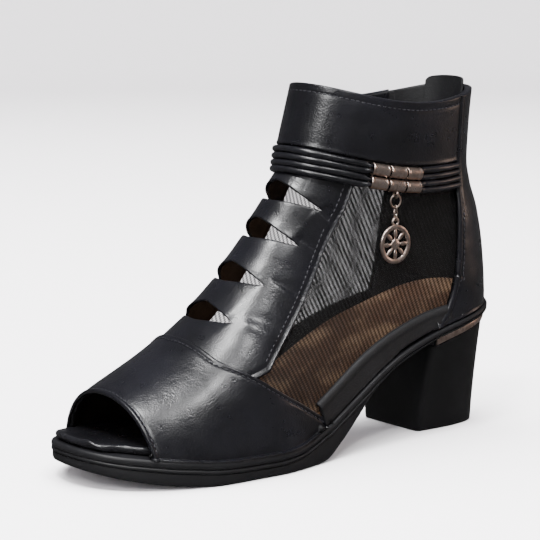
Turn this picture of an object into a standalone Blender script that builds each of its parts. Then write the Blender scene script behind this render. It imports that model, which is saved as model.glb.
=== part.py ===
"""Left bootie sandal on a block heel: hollow peep-toe upper on a platform sole.

The toe points along -X, the heel along +X, the outer side of the foot faces -Y and +Z is up.
The origin is the middle of the heel's tread face on the floor.  All lengths are metres.

Every soft piece is worked out from one surface, the last: straight fan sections run from the
ridge of the vamp down to a keel line, and the feather line trims them where the sole begins.
A place on the last is a station, counted from the toe tip to above the collar, and a share
across it, from -1 at the outer feather line over 0 on the ridge to +1 at the inner one.
"""

import math

import bmesh
import bpy
import numpy as np
from mathutils import Matrix, Vector

# Driving sizes of the shoe
SHOE_LENGTH = 0.240
BALL_WIDTH = 0.089
INSTEP_HEIGHT = 0.1245
COLLAR_HEIGHT = 0.169
COLLAR_LENGTH = 0.0967
COLLAR_WIDTH = 0.057
HEEL_HEIGHT = 0.0502
TOE_SPRING = 0.011
FOREFOOT_SOLE = 0.0112
HEEL_BASE_LENGTH = 0.0435
HEEL_BASE_SHIFT = 0.0012
HEEL_BASE_WIDTH = 0.0415

# Walls, layers and clearances
GAP = 0.0003
UPPER_WALL = 0.0018
VAMP_RAISE = 0.0009
OVERLAY_GAP = 0.0006
COUNTER_WALL = 0.0011
CUFF_WALL = 0.0010
MESH_WALL = 0.0008
MESH_DEPTH = 0.0005
RIM = 0.0030
LIP_HEIGHT = 0.0036
BAND_HEIGHT = 0.0020
GROOVE_DEPTH = 0.0006
INSOLE_TOE = 0.0036
INSOLE_HEEL = 0.0070
INSOLE_ROUND = 0.0024
INSOLE_CLEARANCE = 0.0015

# Heel, metal trim and back zip
HEEL_INSET = 0.0022
TRIM_HEIGHT = 0.0032
TRIM_WALL = 0.0009
ZIP_HALF_WIDTH = 0.0026
TAPE_WALL = 0.0007
GUARD_HEIGHT = 0.016
GUARD_RISE = 0.0032
GUARD_WALL = 0.0010
GUARD_HALF_WIDTH = 0.015
SLIDER_LENGTH = 0.0085
SLIDER_WIDTH = 0.0058
SLIDER_DEPTH = 0.0018
PIN_RADIUS = 0.0005
EYE_RADIUS = 0.0015
PULL_LENGTH = 0.029
PULL_WIDTH = 0.0072
PULL_WALL = 0.0011

# Ankle cords, beads and charm
CORD_DIAMETER = 0.0028
CORD_STANDOFF = 0.0007
BEAD_LENGTH = 0.0088
BEAD_WALL = 0.0006
BEAD_DEPTH = 0.0052
CHARM_DIAMETER = 0.0183
CHARM_WALL = 0.0015
RING_DIAMETER = 0.0070
RING_WIRE = 0.0009
LINK_WIRE = 0.0006
LINK_LENGTH = 0.0036
LINK_WIDTH = 0.0026
LOOP_WIRE = 0.0011
LOOP_SIZE = 0.0041
LUG_WIRE = 0.0012
LUG_SIZE = 0.0046
CHARM_RIM = 0.0018
SLIDER_CHEEK = 0.0007

# Fan sections of the foot, from the toe tip to the instep.
# ridge_x and keel_x are shares of the shoe's length, ridge_z and keel_z of the instep height;
# outer, inner and ridge_y are shares of the ball width; front and back are the closing lengths
# of a section as shares of the instep height, and bow is its sag in side view, a share too.
# Columns in order: ridge_x, ridge_z, keel_x, keel_z, outer, inner, front, back, ridge_y, bow.
FOOT_SECTIONS = (
    (-0.8480, 0.185, -0.8480, -0.12, 0.006, 0.006, 0.07, 0.08, 0.040, 0.000),
    (-0.8430, 0.207, -0.8430, -0.12, 0.110, 0.096, 0.11, 0.08, 0.042, 0.000),
    (-0.8290, 0.237, -0.8290, -0.12, 0.202, 0.180, 0.16, 0.08, 0.045, 0.000),
    (-0.8030, 0.272, -0.8010, -0.12, 0.290, 0.256, 0.21, 0.08, 0.048, 0.000),
    (-0.7640, 0.312, -0.7560, -0.12, 0.372, 0.332, 0.26, 0.08, 0.048, 0.000),
    (-0.7083, 0.360, -0.6833, -0.12, 0.442, 0.392, 0.31, 0.10, 0.045, 0.000),
    (-0.6375, 0.430, -0.5917, -0.11, 0.483, 0.415, 0.36, 0.12, 0.040, 0.000),
    (-0.5667, 0.530, -0.4833, -0.08, 0.483, 0.398, 0.42, 0.15, 0.030, 0.000),
    (-0.5042, 0.655, -0.3667, -0.02, 0.432, 0.362, 0.47, 0.18, 0.022, 0.000),
    (-0.4500, 0.785, -0.2167, 0.05, 0.374, 0.334, 0.50, 0.23, 0.015, 0.008),
    (-0.4125, 0.888, -0.0583, 0.10, 0.340, 0.320, 0.50, 0.26, 0.010, 0.016),
    (-0.3890, 0.962, 0.0700, 0.22, 0.322, 0.310, 0.48, 0.29, 0.005, 0.028),
)

# Sections of the shaft, from the instep to just above the collar.
# ridge_x and keel_x are shares of the collar length ahead of and behind the ankle's middle;
# ridge_z and keel_z are heights from the instep (0) to the collar (1), and bow is on that
# scale too; outer and inner are shares of the collar width, front and back of its length.
ANKLE_MIDDLE = -0.120
SHAFT_SECTIONS = (
    (-0.634, 0.000, 0.580, -1.46, 0.521, 0.500, 0.60, 0.39, 0.0, 0.10),
    (-0.614, 0.065, 0.575, -0.93, 0.512, 0.491, 0.57, 0.42, 0.0, 0.11),
    (-0.599, 0.105, 0.545, -0.44, 0.505, 0.482, 0.55, 0.46, 0.0, 0.12),
    (-0.588, 0.130, 0.500, -0.11, 0.500, 0.475, 0.53, 0.50, 0.0, 0.13),
    (-0.564, 0.402, 0.479, 0.17, 0.500, 0.475, 0.53, 0.52, 0.0, 0.14),
    (-0.522, 0.710, 0.486, 0.58, 0.507, 0.483, 0.53, 0.52, 0.0, 0.16),
    (-0.482, 1.000, 0.500, 0.93, 0.512, 0.491, 0.54, 0.52, 0.0, 0.18),
    (-0.460, 1.170, 0.508, 1.10, 0.517, 0.496, 0.54, 0.52, 0.0, 0.19),
)
FRONT_FULLNESS = 2.12
BACK_FULLNESS = 2.30
COLLAR_STATION = len(FOOT_SECTIONS) + len(SHAFT_SECTIONS) - 2
CORD_STATION = len(FOOT_SECTIONS) + 3.5

# The sole's side line: along is a share of the shoe's length, spring of the toe spring,
# rise of the heel height and thick of the forefoot sole.
SOLE_COLUMNS = ("along", "spring", "rise", "thick")
SOLE_LINE = (
    (-0.885, 1.03, 0.000, 0.82),
    (-0.860, 0.84, 0.000, 0.86),
    (-0.813, 0.53, 0.000, 0.95),
    (-0.754, 0.27, 0.000, 1.03),
    (-0.692, 0.09, 0.000, 1.03),
    (-0.642, 0.00, 0.000, 1.00),
    (-0.583, 0.00, 0.000, 0.94),
    (-0.508, 0.00, 0.000, 0.92),
    (-0.450, 0.00, 0.000, 1.04),
    (-0.413, 0.00, 0.000, 1.26),
    (-0.383, 0.00, 0.020, 1.42),
    (-0.342, 0.00, 0.145, 1.28),
    (-0.292, 0.00, 0.347, 0.95),
    (-0.238, 0.00, 0.590, 0.52),
    (-0.192, 0.00, 0.733, 0.38),
    (-0.142, 0.00, 0.835, 0.36),
    (-0.083, 0.00, 0.926, 0.34),
    (0.150, 0.00, 1.204, 0.34),
)

# Edges drawn over the last: share across it, and station.
TOE_OPENING = ((-1.0, 4.10), (-0.6, 3.95), (0.0, 3.72), (0.6, 3.60), (1.0, 3.52))
VAMP_SEAM = ((0.0, 6.40), (0.35, 6.52), (0.62, 7.20), (0.85, 7.90), (1.0, 8.25))

# Side view of the see-through window: along as a share of the length, height of the collar's.
WINDOW = (
    (-0.504, 0.269), (-0.452, 0.210), (-0.398, 0.156), (-0.325, 0.213), (-0.269, 0.259),
    (-0.208, 0.298), (-0.160, 0.322), (-0.079, 0.353), (-0.040, 0.361), (-0.020, 0.420),
    (-0.006, 0.533), (0.000, 0.663), (0.000, 0.704), (-0.104, 0.692), (-0.192, 0.694),
    (-0.262, 0.706), (-0.277, 0.697), (-0.328, 0.578), (-0.396, 0.434),
)

# Front edge of the back quarter in side view, from the sole to above the collar.
COUNTER_EDGE = (
    (0.280, -0.088), (0.320, -0.066), (0.350, -0.050), (0.420, -0.032), (0.533, -0.019),
    (0.663, -0.012), (0.770, -0.008), (1.100, -0.008),
)

# Cut-outs across the instep: height of their middle as a share of the collar's.
CUTOUT_HEIGHTS = (0.410, 0.508, 0.620, 0.718)
CUTOUT_HALF_WIDTH = 0.0205
CUTOUT_ABOVE = 0.0050
CUTOUT_BELOW = 0.0046

HALF_SHARES = 40
FOOT_STATIONS = 121
SHAFT_STATIONS = 56


def material(name, hex_colour, roughness, metallic=0.0):
    """A Principled BSDF of one finish, its sRGB colour turned to linear."""
    made = bpy.data.materials.new(name)
    made.use_nodes = True
    levels = [int(hex_colour[i:i + 2], 16) / 255.0 for i in (0, 2, 4)]
    linear = [c / 12.92 if c < 0.04045 else ((c + 0.055) / 1.055) ** 2.4 for c in levels]
    shader = made.node_tree.nodes["Principled BSDF"]
    shader.inputs["Base Color"].default_value = (*linear, 1.0)
    shader.inputs["Roughness"].default_value = roughness
    shader.inputs["Metallic"].default_value = metallic
    made.diffuse_color = (*linear, 1.0)
    return made


def smooth(knots, values, at):
    """Cubic through the knots that never overshoots them; values may have columns."""
    knots = np.asarray(knots, float)
    values = np.asarray(values, float)
    flat = values.ndim == 1
    if flat:
        values = values[:, None]
    step = np.diff(knots)[:, None]
    slope = np.diff(values, axis=0) / step
    tangent = np.empty_like(values)
    tangent[0], tangent[-1] = slope[0], slope[-1]
    before, after = slope[:-1], slope[1:]
    near, far = 2 * step[1:] + step[:-1], step[1:] + 2 * step[:-1]
    same_way = before * after > 0
    safe_before = np.where(same_way, before, 1.0)
    safe_after = np.where(same_way, after, 1.0)
    mean = (near + far) / (near / safe_before + far / safe_after)
    tangent[1:-1] = np.where(same_way, mean, 0.0)
    at = np.clip(np.atleast_1d(np.asarray(at, float)), knots[0], knots[-1])
    k = np.clip(np.searchsorted(knots, at, side="right") - 1, 0, len(knots) - 2)
    u = ((at - knots[k]) / step[k, 0])[:, None]
    h = step[k]
    result = ((2 * u ** 3 - 3 * u ** 2 + 1) * values[k] + (u ** 3 - 2 * u ** 2 + u) * h * tangent[k]
              + (-2 * u ** 3 + 3 * u ** 2) * values[k + 1] + (u ** 3 - u ** 2) * h * tangent[k + 1])
    return result[:, 0] if flat else result


def section_rows():
    """The two tables of sections as lengths in metres, one row for each station."""
    foot = np.array(FOOT_SECTIONS)
    width, height = BALL_WIDTH, INSTEP_HEIGHT
    foot = foot * np.array([SHOE_LENGTH, height, SHOE_LENGTH, height, width, width, height,
                            height, width, height])
    shaft = np.array(SHAFT_SECTIONS)
    rise = COLLAR_HEIGHT - INSTEP_HEIGHT
    long = COLLAR_LENGTH
    shaft = shaft * np.array([long, rise, long, rise, COLLAR_WIDTH, COLLAR_WIDTH, long, long,
                              COLLAR_WIDTH, rise])
    shaft[:, 0] += ANKLE_MIDDLE * SHOE_LENGTH
    shaft[:, 2] += ANKLE_MIDDLE * SHOE_LENGTH
    shaft[:, 1] += INSTEP_HEIGHT
    shaft[:, 3] += INSTEP_HEIGHT
    return np.vstack([foot, shaft])


def sole_columns():
    """The sole's side line, one array for each named column."""
    return dict(zip(SOLE_COLUMNS, np.array(SOLE_LINE).T))


def sole_bottom(x):
    """Height of the sole's underside at x."""
    line = sole_columns()
    height = line["spring"] * TOE_SPRING + line["rise"] * HEEL_HEIGHT
    return smooth(line["along"] * SHOE_LENGTH, height, x)


def feather(x):
    """Height of the line where the upper meets the sole, at x."""
    line = sole_columns()
    return sole_bottom(x) + smooth(line["along"] * SHOE_LENGTH, line["thick"] * FOREFOOT_SOLE, x)


ROWS = section_rows()


def seam_station():
    """Station whose keel point lies on the feather line: there the back seam begins."""
    low, high = float(len(FOOT_SECTIONS) - 2), float(COLLAR_STATION)
    for _ in range(50):
        middle = 0.5 * (low + high)
        row = smooth(np.arange(len(ROWS)), ROWS, middle)[0]
        if row[3] < feather(row[2])[0]:
            low = middle
        else:
            high = middle
    return high


def half_section(row, side, closed):
    """Points from the ridge down one side of a section, evenly spaced along it.

    The half width grows from the ridge as a superellipse over the front closing length, stays
    full, and shrinks again over the back closing length to the keel.  Below the seam station
    the section ends where it crosses the feather line.
    """
    ridge_x, ridge_z, keel_x, keel_z, outer, inner, front, back, ridge_y, bow = row
    depth = math.hypot(keel_x - ridge_x, keel_z - ridge_z)
    fit = min(1.0, 0.98 * depth / (front + back))
    front, back = front * fit, back * fit
    width = outer if side < 0 else inner
    angle = np.linspace(0.0, math.pi / 2, 121)
    front_way = front * (1 - np.cos(angle) ** (2 / FRONT_FULLNESS))
    front_wide = width * np.sin(angle) ** (2 / FRONT_FULLNESS)
    back_way = depth - back + back * np.sin(angle) ** (2 / BACK_FULLNESS)
    back_wide = width * np.cos(angle) ** (2 / BACK_FULLNESS)
    way = np.concatenate([front_way, back_way]) / depth
    wide = np.concatenate([front_wide, back_wide])
    x = ridge_x + (keel_x - ridge_x) * way
    z = ridge_z + (keel_z - ridge_z) * way - bow * np.sin(math.pi * np.clip(way, 0, 1))
    y = ridge_y * (1 - way) + side * wide
    y[-1] = 0.0 if closed else y[-1]
    if not closed:
        over = z - feather(x)
        cut = int(np.argmax(over < 0))
        part = over[cut - 1] / (over[cut - 1] - over[cut])
        x, y, z = (np.append(v[:cut], v[cut - 1] + part * (v[cut] - v[cut - 1])) for v in (x, y, z))
    run = np.concatenate([[0.0], np.cumsum(np.sqrt(np.diff(x) ** 2 + np.diff(y) ** 2 + np.diff(z) ** 2))])
    even = np.linspace(0.0, run[-1], HALF_SHARES + 1)
    return np.stack([np.interp(even, run, v) for v in (x, y, z)], axis=1)


SEAM = seam_station()
STATIONS = np.concatenate([SEAM * (0.5 - 0.5 * np.cos(np.linspace(0.0, math.pi, FOOT_STATIONS))),
                           np.linspace(SEAM, len(ROWS) - 1, SHAFT_STATIONS)[1:]])
SHARES = np.linspace(-1.0, 1.0, 2 * HALF_SHARES + 1)


def last_grid():
    """Points and outward normals of the last, on the grid of stations and shares."""
    points = []
    for station, row in zip(STATIONS, smooth(np.arange(len(ROWS)), ROWS, STATIONS)):
        closed = station >= SEAM - 1e-9
        outer = half_section(row, -1, closed)
        inner = half_section(row, 1, closed)
        points.append(np.vstack([outer[::-1], inner[1:]]))
    points = np.array(points)
    along = np.gradient(points, axis=0)
    across = np.gradient(points, axis=1)
    normals = np.cross(along, across)
    shaft = STATIONS >= SEAM - 1e-9
    joined = normals[shaft, 0] + normals[shaft, -1]
    joined[:, 1] = 0.0
    normals[shaft, 0] = normals[shaft, -1] = joined
    for edge in (0, -1):
        normals[~shaft, edge, 2] = 0.0
    normals /= np.maximum(np.linalg.norm(normals, axis=2, keepdims=True), 1e-12)
    return points, normals


LAST, NORMALS = last_grid()


def skin(station, share, offset=0.0):
    """Points on the last at arrays of stations and shares, moved out by offset."""
    station, share = np.broadcast_arrays(np.asarray(station, float), np.asarray(share, float))
    i = np.interp(station, STATIONS, np.arange(len(STATIONS)))
    j = np.interp(share, SHARES, np.arange(len(SHARES)))
    i0 = np.clip(i.astype(int), 0, len(STATIONS) - 2)
    j0 = np.clip(j.astype(int), 0, len(SHARES) - 2)
    u, v = (i - i0)[..., None], (j - j0)[..., None]

    def blend(grid):
        return ((1 - u) * (1 - v) * grid[i0, j0] + u * (1 - v) * grid[i0 + 1, j0]
                + (1 - u) * v * grid[i0, j0 + 1] + u * v * grid[i0 + 1, j0 + 1])

    normal = blend(NORMALS)
    normal /= np.linalg.norm(normal, axis=-1, keepdims=True)
    offset = np.asarray(offset, float)
    return blend(LAST) + normal * (offset[..., None] if offset.ndim else offset)


def station_at(share, way, start):
    """Station that lies a given way up the surface from a start station, at one share."""
    reach = 0.5
    rate = np.linalg.norm(skin(start + reach, share) - skin(start, share)) / reach
    return start + way / rate


def share_where(station, side, test):
    """Share from the ridge, on one side of a station, at which test(points) turns positive."""
    shares = np.linspace(0.0, 1.0, 201)
    value = test(skin(station, side * shares))
    k = int(np.argmax(value > 0))
    if value[k] <= 0:
        return 1.0
    if k == 0:
        return 0.0
    part = value[k - 1] / (value[k - 1] - value[k])
    return shares[k - 1] + part * (shares[k] - shares[k - 1])


def add_object(name, vertices, faces, finish, merge=0.0):
    """One closed body from points and faces, with its faces turned outwards."""
    mesh = bpy.data.meshes.new(name)
    mesh.from_pydata([tuple(map(float, v)) for v in vertices], [], [tuple(map(int, f)) for f in faces])
    body = bmesh.new()
    body.from_mesh(mesh)
    if merge:
        bmesh.ops.remove_doubles(body, verts=body.verts, dist=merge)
    bmesh.ops.recalc_face_normals(body, faces=body.faces)
    if body.calc_volume(signed=True) < 0:
        bmesh.ops.reverse_faces(body, faces=body.faces)
    body.to_mesh(mesh)
    body.free()
    mesh.materials.append(finish)
    made = bpy.data.objects.new(name, mesh)
    bpy.context.scene.collection.objects.link(made)
    return made


def finish_shape(made):
    """Round faces shade smooth, edges over 35 degrees stay sharp."""
    made.data.shade_smooth()
    made.data.set_sharp_from_angle(angle=math.radians(35))
    return made


def combine(target, others, operation, solver="EXACT"):
    """Apply a Boolean with each other object, and remove those.

    The thin curved walls leave open edges with the exact solver, so they take the manifold one.
    """
    for other in others:
        step = target.modifiers.new("cut", "BOOLEAN")
        step.operation = operation
        step.solver = solver
        step.object = other
        bpy.context.view_layer.update()
        graph = bpy.context.evaluated_depsgraph_get()
        mesh = bpy.data.meshes.new_from_object(target.evaluated_get(graph))
        target.modifiers.clear()
        old = target.data
        target.data = mesh
        bpy.data.meshes.remove(old)
        bpy.data.objects.remove(other)
    return target


def strip(first, second):
    """Quads between two equal runs of vertex numbers."""
    first, second = np.asarray(first), np.asarray(second)
    quads = np.stack([first[:-1], first[1:], second[1:], second[:-1]], axis=1)
    return [tuple(q) for q in quads]


def sheet_faces(index):
    """Quads of a grid of vertex numbers."""
    return [quad for upper, lower in zip(index[:-1], index[1:]) for quad in strip(upper, lower)]


def shell(name, outer, inner, finish):
    """Closed sheet between two grids of points of the same size."""
    rows, columns = outer.shape[:2]
    top = np.arange(rows * columns).reshape(rows, columns)
    under = top + rows * columns
    faces = sheet_faces(top) + sheet_faces(under[::-1])
    faces += strip(top[0], under[0]) + strip(top[-1], under[-1])
    faces += strip(top[:, 0], under[:, 0]) + strip(top[:, -1], under[:, -1])
    return add_object(name, np.vstack([outer.reshape(-1, 3), inner.reshape(-1, 3)]), faces, finish)


def tube(name, centres, tall, deep, finish, sides=8, closed=False):
    """Ring of sides carried along a path: tall and deep vectors give each ring's half axes."""
    angle = np.arange(sides) * 2 * math.pi / sides
    rings = (centres[:, None] + np.cos(angle)[None, :, None] * tall[:, None]
             + np.sin(angle)[None, :, None] * deep[:, None])
    count = len(centres)
    index = np.arange(count * sides).reshape(count, sides)
    wrapped = np.hstack([index, index[:, :1]])
    if closed:
        wrapped = np.vstack([wrapped, wrapped[:1]])
    faces = sheet_faces(wrapped)
    if not closed:
        faces += [tuple(index[0]), tuple(index[-1][::-1])]
    return add_object(name, rings.reshape(-1, 3), faces, finish)


def prism(name, outline, axis_from, axis_to, finish):
    """Solid between two copies of a flat outline, each given as points in space."""
    outline = np.asarray(outline)
    count = len(outline)
    near, far = outline + axis_from, outline + axis_to
    index = np.arange(count)
    ring = np.append(index, 0)
    faces = strip(ring, ring + count) + [tuple(index), tuple(index[::-1] + count)]
    return add_object(name, np.vstack([near, far]), faces, finish)


def inset(outline, by):
    """Flat outline moved inwards by a distance, corner by corner."""
    outline = np.asarray(outline, float)
    following = np.roll(outline, -1, axis=0)
    area = 0.5 * np.sum(outline[:, 0] * following[:, 1] - following[:, 0] * outline[:, 1])
    edge = following - outline
    edge /= np.linalg.norm(edge, axis=1, keepdims=True)
    normal = np.stack([-edge[:, 1], edge[:, 0]], axis=1) * math.copysign(1.0, area)
    previous = np.roll(normal, 1, axis=0)
    middle = normal + previous
    middle /= np.sum(middle * normal, axis=1, keepdims=True)
    return outline + middle * by


def side_outline(table):
    """Side-view table of shares as points in the plane y = 0."""
    table = np.array(table)
    return np.stack([table[:, 0] * SHOE_LENGTH, np.zeros(len(table)), table[:, 1] * COLLAR_HEIGHT], axis=1)


# Upper

UPPER_SHARES = np.linspace(-1, 1, 33)
VAMP_ROWS, INSTEP_ROWS, SHAFT_ROWS = 8, 11, 7


def toe_edge(share):
    table = np.array(TOE_OPENING)
    return smooth(table[:, 0], table[:, 1], share)


def vamp_edge(share):
    table = np.array(VAMP_SEAM)
    return smooth(table[:, 0], table[:, 1], np.abs(share))


def upper_rows(collar):
    """Stations of the upper's grid, row by row, and how far each row stands proud."""
    toe, vamp = toe_edge(UPPER_SHARES), vamp_edge(UPPER_SHARES)
    rows, proud = [], []
    for part in np.linspace(0, 1, VAMP_ROWS):
        rows.append(toe + (vamp - toe) * part)
        proud.append(VAMP_RAISE)
    for part in np.sin(np.linspace(0, math.pi / 2, INSTEP_ROWS)):
        rows.append(vamp + (SEAM - vamp) * part)
        proud.append(0.0)
    for part in np.linspace(0, 1, SHAFT_ROWS)[1:]:
        rows.append(np.full(len(UPPER_SHARES), SEAM + (collar - SEAM) * part))
        proud.append(0.0)
    return np.array(rows), np.array(proud)


def window_cutter(side, name, finish, by=0.0):
    """Prism through one quarter with the window's side outline, smaller by a distance."""
    outline = side_outline(WINDOW)
    outline[:, [0, 2]] = inset(outline[:, [0, 2]], by)
    reach = np.array([0.0, side * BALL_WIDTH, 0.0])
    return prism(name, outline, reach * 0.09, reach, finish)


def cutout_cutter(height, finish):
    """Prism through the ridge: a flat lozenge, square to the instep at one height."""
    ridge_heights = skin(np.linspace(4, SEAM, 80), 0.0)[:, 2]
    station = np.interp(height * COLLAR_HEIGHT, ridge_heights, np.linspace(4, SEAM, 80))
    middle = skin(station, 0.0)
    outward = skin(station, 0.0, 1.0) - middle
    outward[1] = 0.0
    outward /= np.linalg.norm(outward)
    up = np.array([outward[2], 0.0, -outward[0]])
    up = up if up[2] > 0 else -up
    wide = np.array([0.0, 1.0, 0.0])
    shape = ((-1.0, 0.0), (-0.45, -0.62), (0.0, -1.0), (0.45, -0.62), (1.0, 0.0), (0.5, 0.5),
             (0.0, 1.0), (-0.5, 0.5))
    outline = [middle + wide * a * CUTOUT_HALF_WIDTH + up * b * (CUTOUT_ABOVE if b > 0 else CUTOUT_BELOW)
               for a, b in shape]
    return prism("cutout", outline, outward * -0.019, outward * 0.006, finish)


def make_upper(leather):
    """Hollow leather upper: raised vamp, instep panel with four cut-outs, bands, back and shaft."""
    rows, proud = upper_rows(COLLAR_STATION)
    columns = len(UPPER_SHARES)
    outer = skin(rows, UPPER_SHARES, np.repeat(proud[:, None], columns, axis=1))
    inner = skin(rows, UPPER_SHARES, -UPPER_WALL)
    inner = np.delete(inner, VAMP_ROWS, axis=0)
    foot_rows = VAMP_ROWS + INSTEP_ROWS
    for grid, count in ((outer, foot_rows), (inner, foot_rows - 1)):
        for column in (0, -1):
            grid[:count, column, 2] = feather(grid[:count, column, 0]) + GAP
    top = np.arange(outer.shape[0] * columns).reshape(-1, columns)
    under = np.arange(inner.shape[0] * columns).reshape(-1, columns) + top.size
    faces = sheet_faces(top) + sheet_faces(under[::-1])
    faces += strip(top[0], under[0]) + strip(top[-1], under[-1])
    for column in (0, -1):
        edge = top[:foot_rows, column]
        low = under[:foot_rows - 1, column]
        matched = np.insert(low, VAMP_ROWS, low[VAMP_ROWS - 1])
        faces += [tuple(dict.fromkeys(q)) for q in strip(edge, matched)]
    points = np.vstack([outer.reshape(-1, 3), inner.reshape(-1, 3)])
    upper = add_object("upper", points, faces, leather, merge=1e-6)
    cutters = [window_cutter(side, "window", leather) for side in (-1, 1)]
    cutters += [cutout_cutter(height, leather) for height in CUTOUT_HEIGHTS]
    return finish_shape(combine(upper, cutters, "DIFFERENCE", "MANIFOLD"))


def make_mesh_panel(side, name, mesh_cloth):
    """Sheet of mesh that fills one window, inside the thickness of the wall."""
    shares = side * np.linspace(0.18, 0.985, 13)
    rows = np.linspace(vamp_edge(shares) - 0.2, CORD_STATION, 13)
    outer = skin(rows, shares, -MESH_DEPTH)
    inner = skin(rows, shares, -MESH_DEPTH - MESH_WALL)
    panel = shell(name, outer, inner, mesh_cloth)
    limit = window_cutter(side, "limit", mesh_cloth, by=GAP)
    return finish_shape(combine(panel, [limit], "INTERSECT", "MANIFOLD"))


def counter_front(height):
    """x of the back quarter's front edge at a height."""
    table = np.array(COUNTER_EDGE)
    return smooth(table[:, 0] * COLLAR_HEIGHT, table[:, 1] * SHOE_LENGTH, height)


def counter_share(station, side, clearance=0.0):
    """Share at which a station crosses the back quarter's front edge."""
    return share_where(station, side, lambda p: p[:, 0] + clearance - counter_front(p[:, 2]))


def zip_share(station, side):
    """Share at which a station comes within the zip's half width of the back seam."""
    return share_where(station, side, lambda p: np.where(p[:, 0] > 0, ZIP_HALF_WIDTH - np.abs(p[:, 1]), -1.0))


def make_counter(side, name, leather):
    """Back quarter laid over the upper, from its curved front edge to the zip."""
    low = SEAM - 1.25
    while counter_share(low, side) > 0.985:
        low += 0.02
    below = low + (SEAM - low) * np.sin(np.linspace(0, math.pi / 2, 7))
    stations = np.concatenate([below, np.linspace(SEAM, COLLAR_STATION, 9)[1:]])
    rows = []
    for station in stations:
        rows.append(np.linspace(counter_share(station, side), zip_share(station, side), 11))
    shares = np.array(rows) * side
    stations = np.repeat(stations[:, None], 11, axis=1)
    outer = skin(stations, shares, OVERLAY_GAP + COUNTER_WALL)
    inner = skin(stations, shares, OVERLAY_GAP)
    for grid in (outer, inner):
        foot = feather(grid[..., 0].ravel()).reshape(grid.shape[:2]) + GAP
        grid[..., 2] = np.maximum(grid[..., 2], foot)
    return finish_shape(shell(name, outer, inner, leather))


def cord_frame(share):
    """Directions along the ankle cords, up across them and out of the surface, at shares."""
    step = 2e-3
    along = skin(CORD_STATION, share + step) - skin(CORD_STATION, share - step)
    along /= np.linalg.norm(along, axis=-1, keepdims=True)
    out = skin(CORD_STATION, share, 1.0) - skin(CORD_STATION, share)
    out -= along * np.sum(out * along, axis=-1, keepdims=True)
    out /= np.linalg.norm(out, axis=-1, keepdims=True)
    return along, np.cross(along, out), out


CORD_PITCH = CORD_DIAMETER + GAP
CORD_BAND = 4 * CORD_PITCH


def make_cuff(leather):
    """Leather band above the ankle cords, round the front between the back quarters."""
    stations, rows = [], []
    for part in np.linspace(0.0, 1.0, 5):
        middle = CORD_STATION + 0.6 + (COLLAR_STATION - CORD_STATION - 0.6) * part
        start = -counter_share(middle, -1, GAP + OVERLAY_GAP)
        end = counter_share(middle, 1, GAP + OVERLAY_GAP)
        shares = np.linspace(start, end, 29)
        low = np.array([station_at(share, CORD_BAND / 2 + 2 * GAP, CORD_STATION) for share in shares])
        rows.append(shares)
        stations.append(low + (COLLAR_STATION - low) * part)
    outer = skin(stations, rows, OVERLAY_GAP + CUFF_WALL)
    inner = skin(stations, rows, OVERLAY_GAP)
    return finish_shape(shell("cuff", outer, inner, leather))


# Ankle cords, beads and charm

BEAD_GAP = 0.0004
BEAD_TAPER = 0.0028
BEAD_PITCH = BEAD_LENGTH + BEAD_GAP
BEAD_MIDDLE = -0.184
BEAD_HEIGHT = 2 * CORD_PITCH - GAP
BEAD_OFFSET = BEAD_DEPTH / 2 + CORD_STANDOFF


def bead_frame(column, row):
    """Middle, direction along the cords, up and out of one bead."""
    share = -share_where(CORD_STATION, -1, lambda p: p[:, 0] - (BEAD_MIDDLE * SHOE_LENGTH))
    step = 1e-3
    run = skin(CORD_STATION, share + step) - skin(CORD_STATION, share - step)
    rate = np.linalg.norm(run) / (2 * step)
    share = share - (column - 1) * BEAD_PITCH / rate
    along, up, out = cord_frame(share)
    middle = skin(CORD_STATION, share) + out * BEAD_OFFSET + up * (0.5 - row) * 2 * CORD_PITCH
    return middle, along, up, out


def make_bead(column, row, metal):
    """Open bead: an oval tube with turned-in ends, round two cords."""
    middle, along, up, out = bead_frame(column, row)
    half = BEAD_LENGTH / 2
    lip = 0.0005
    bore = BEAD_WALL
    profile = ((-half, lip), (-half + lip, 0.0), (half - lip, 0.0), (half, lip), (half, bore), (-half, bore))
    angle = (np.arange(10) + 0.5) * math.pi / 5
    rings = []
    for way, less in profile:
        tall, deep = BEAD_HEIGHT / 2 - less, BEAD_DEPTH / 2 - less
        rings.append(middle + along * way + np.cos(angle)[:, None] * up * tall
                     + np.sin(angle)[:, None] * out * deep)
    index = np.arange(60).reshape(6, 10)
    wrapped = np.hstack([index, index[:, :1]])
    wrapped = np.vstack([wrapped, wrapped[:1]])
    return add_object(f"bead_{row * 3 + column + 1}", np.vstack(rings), sheet_faces(wrapped), metal)


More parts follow.
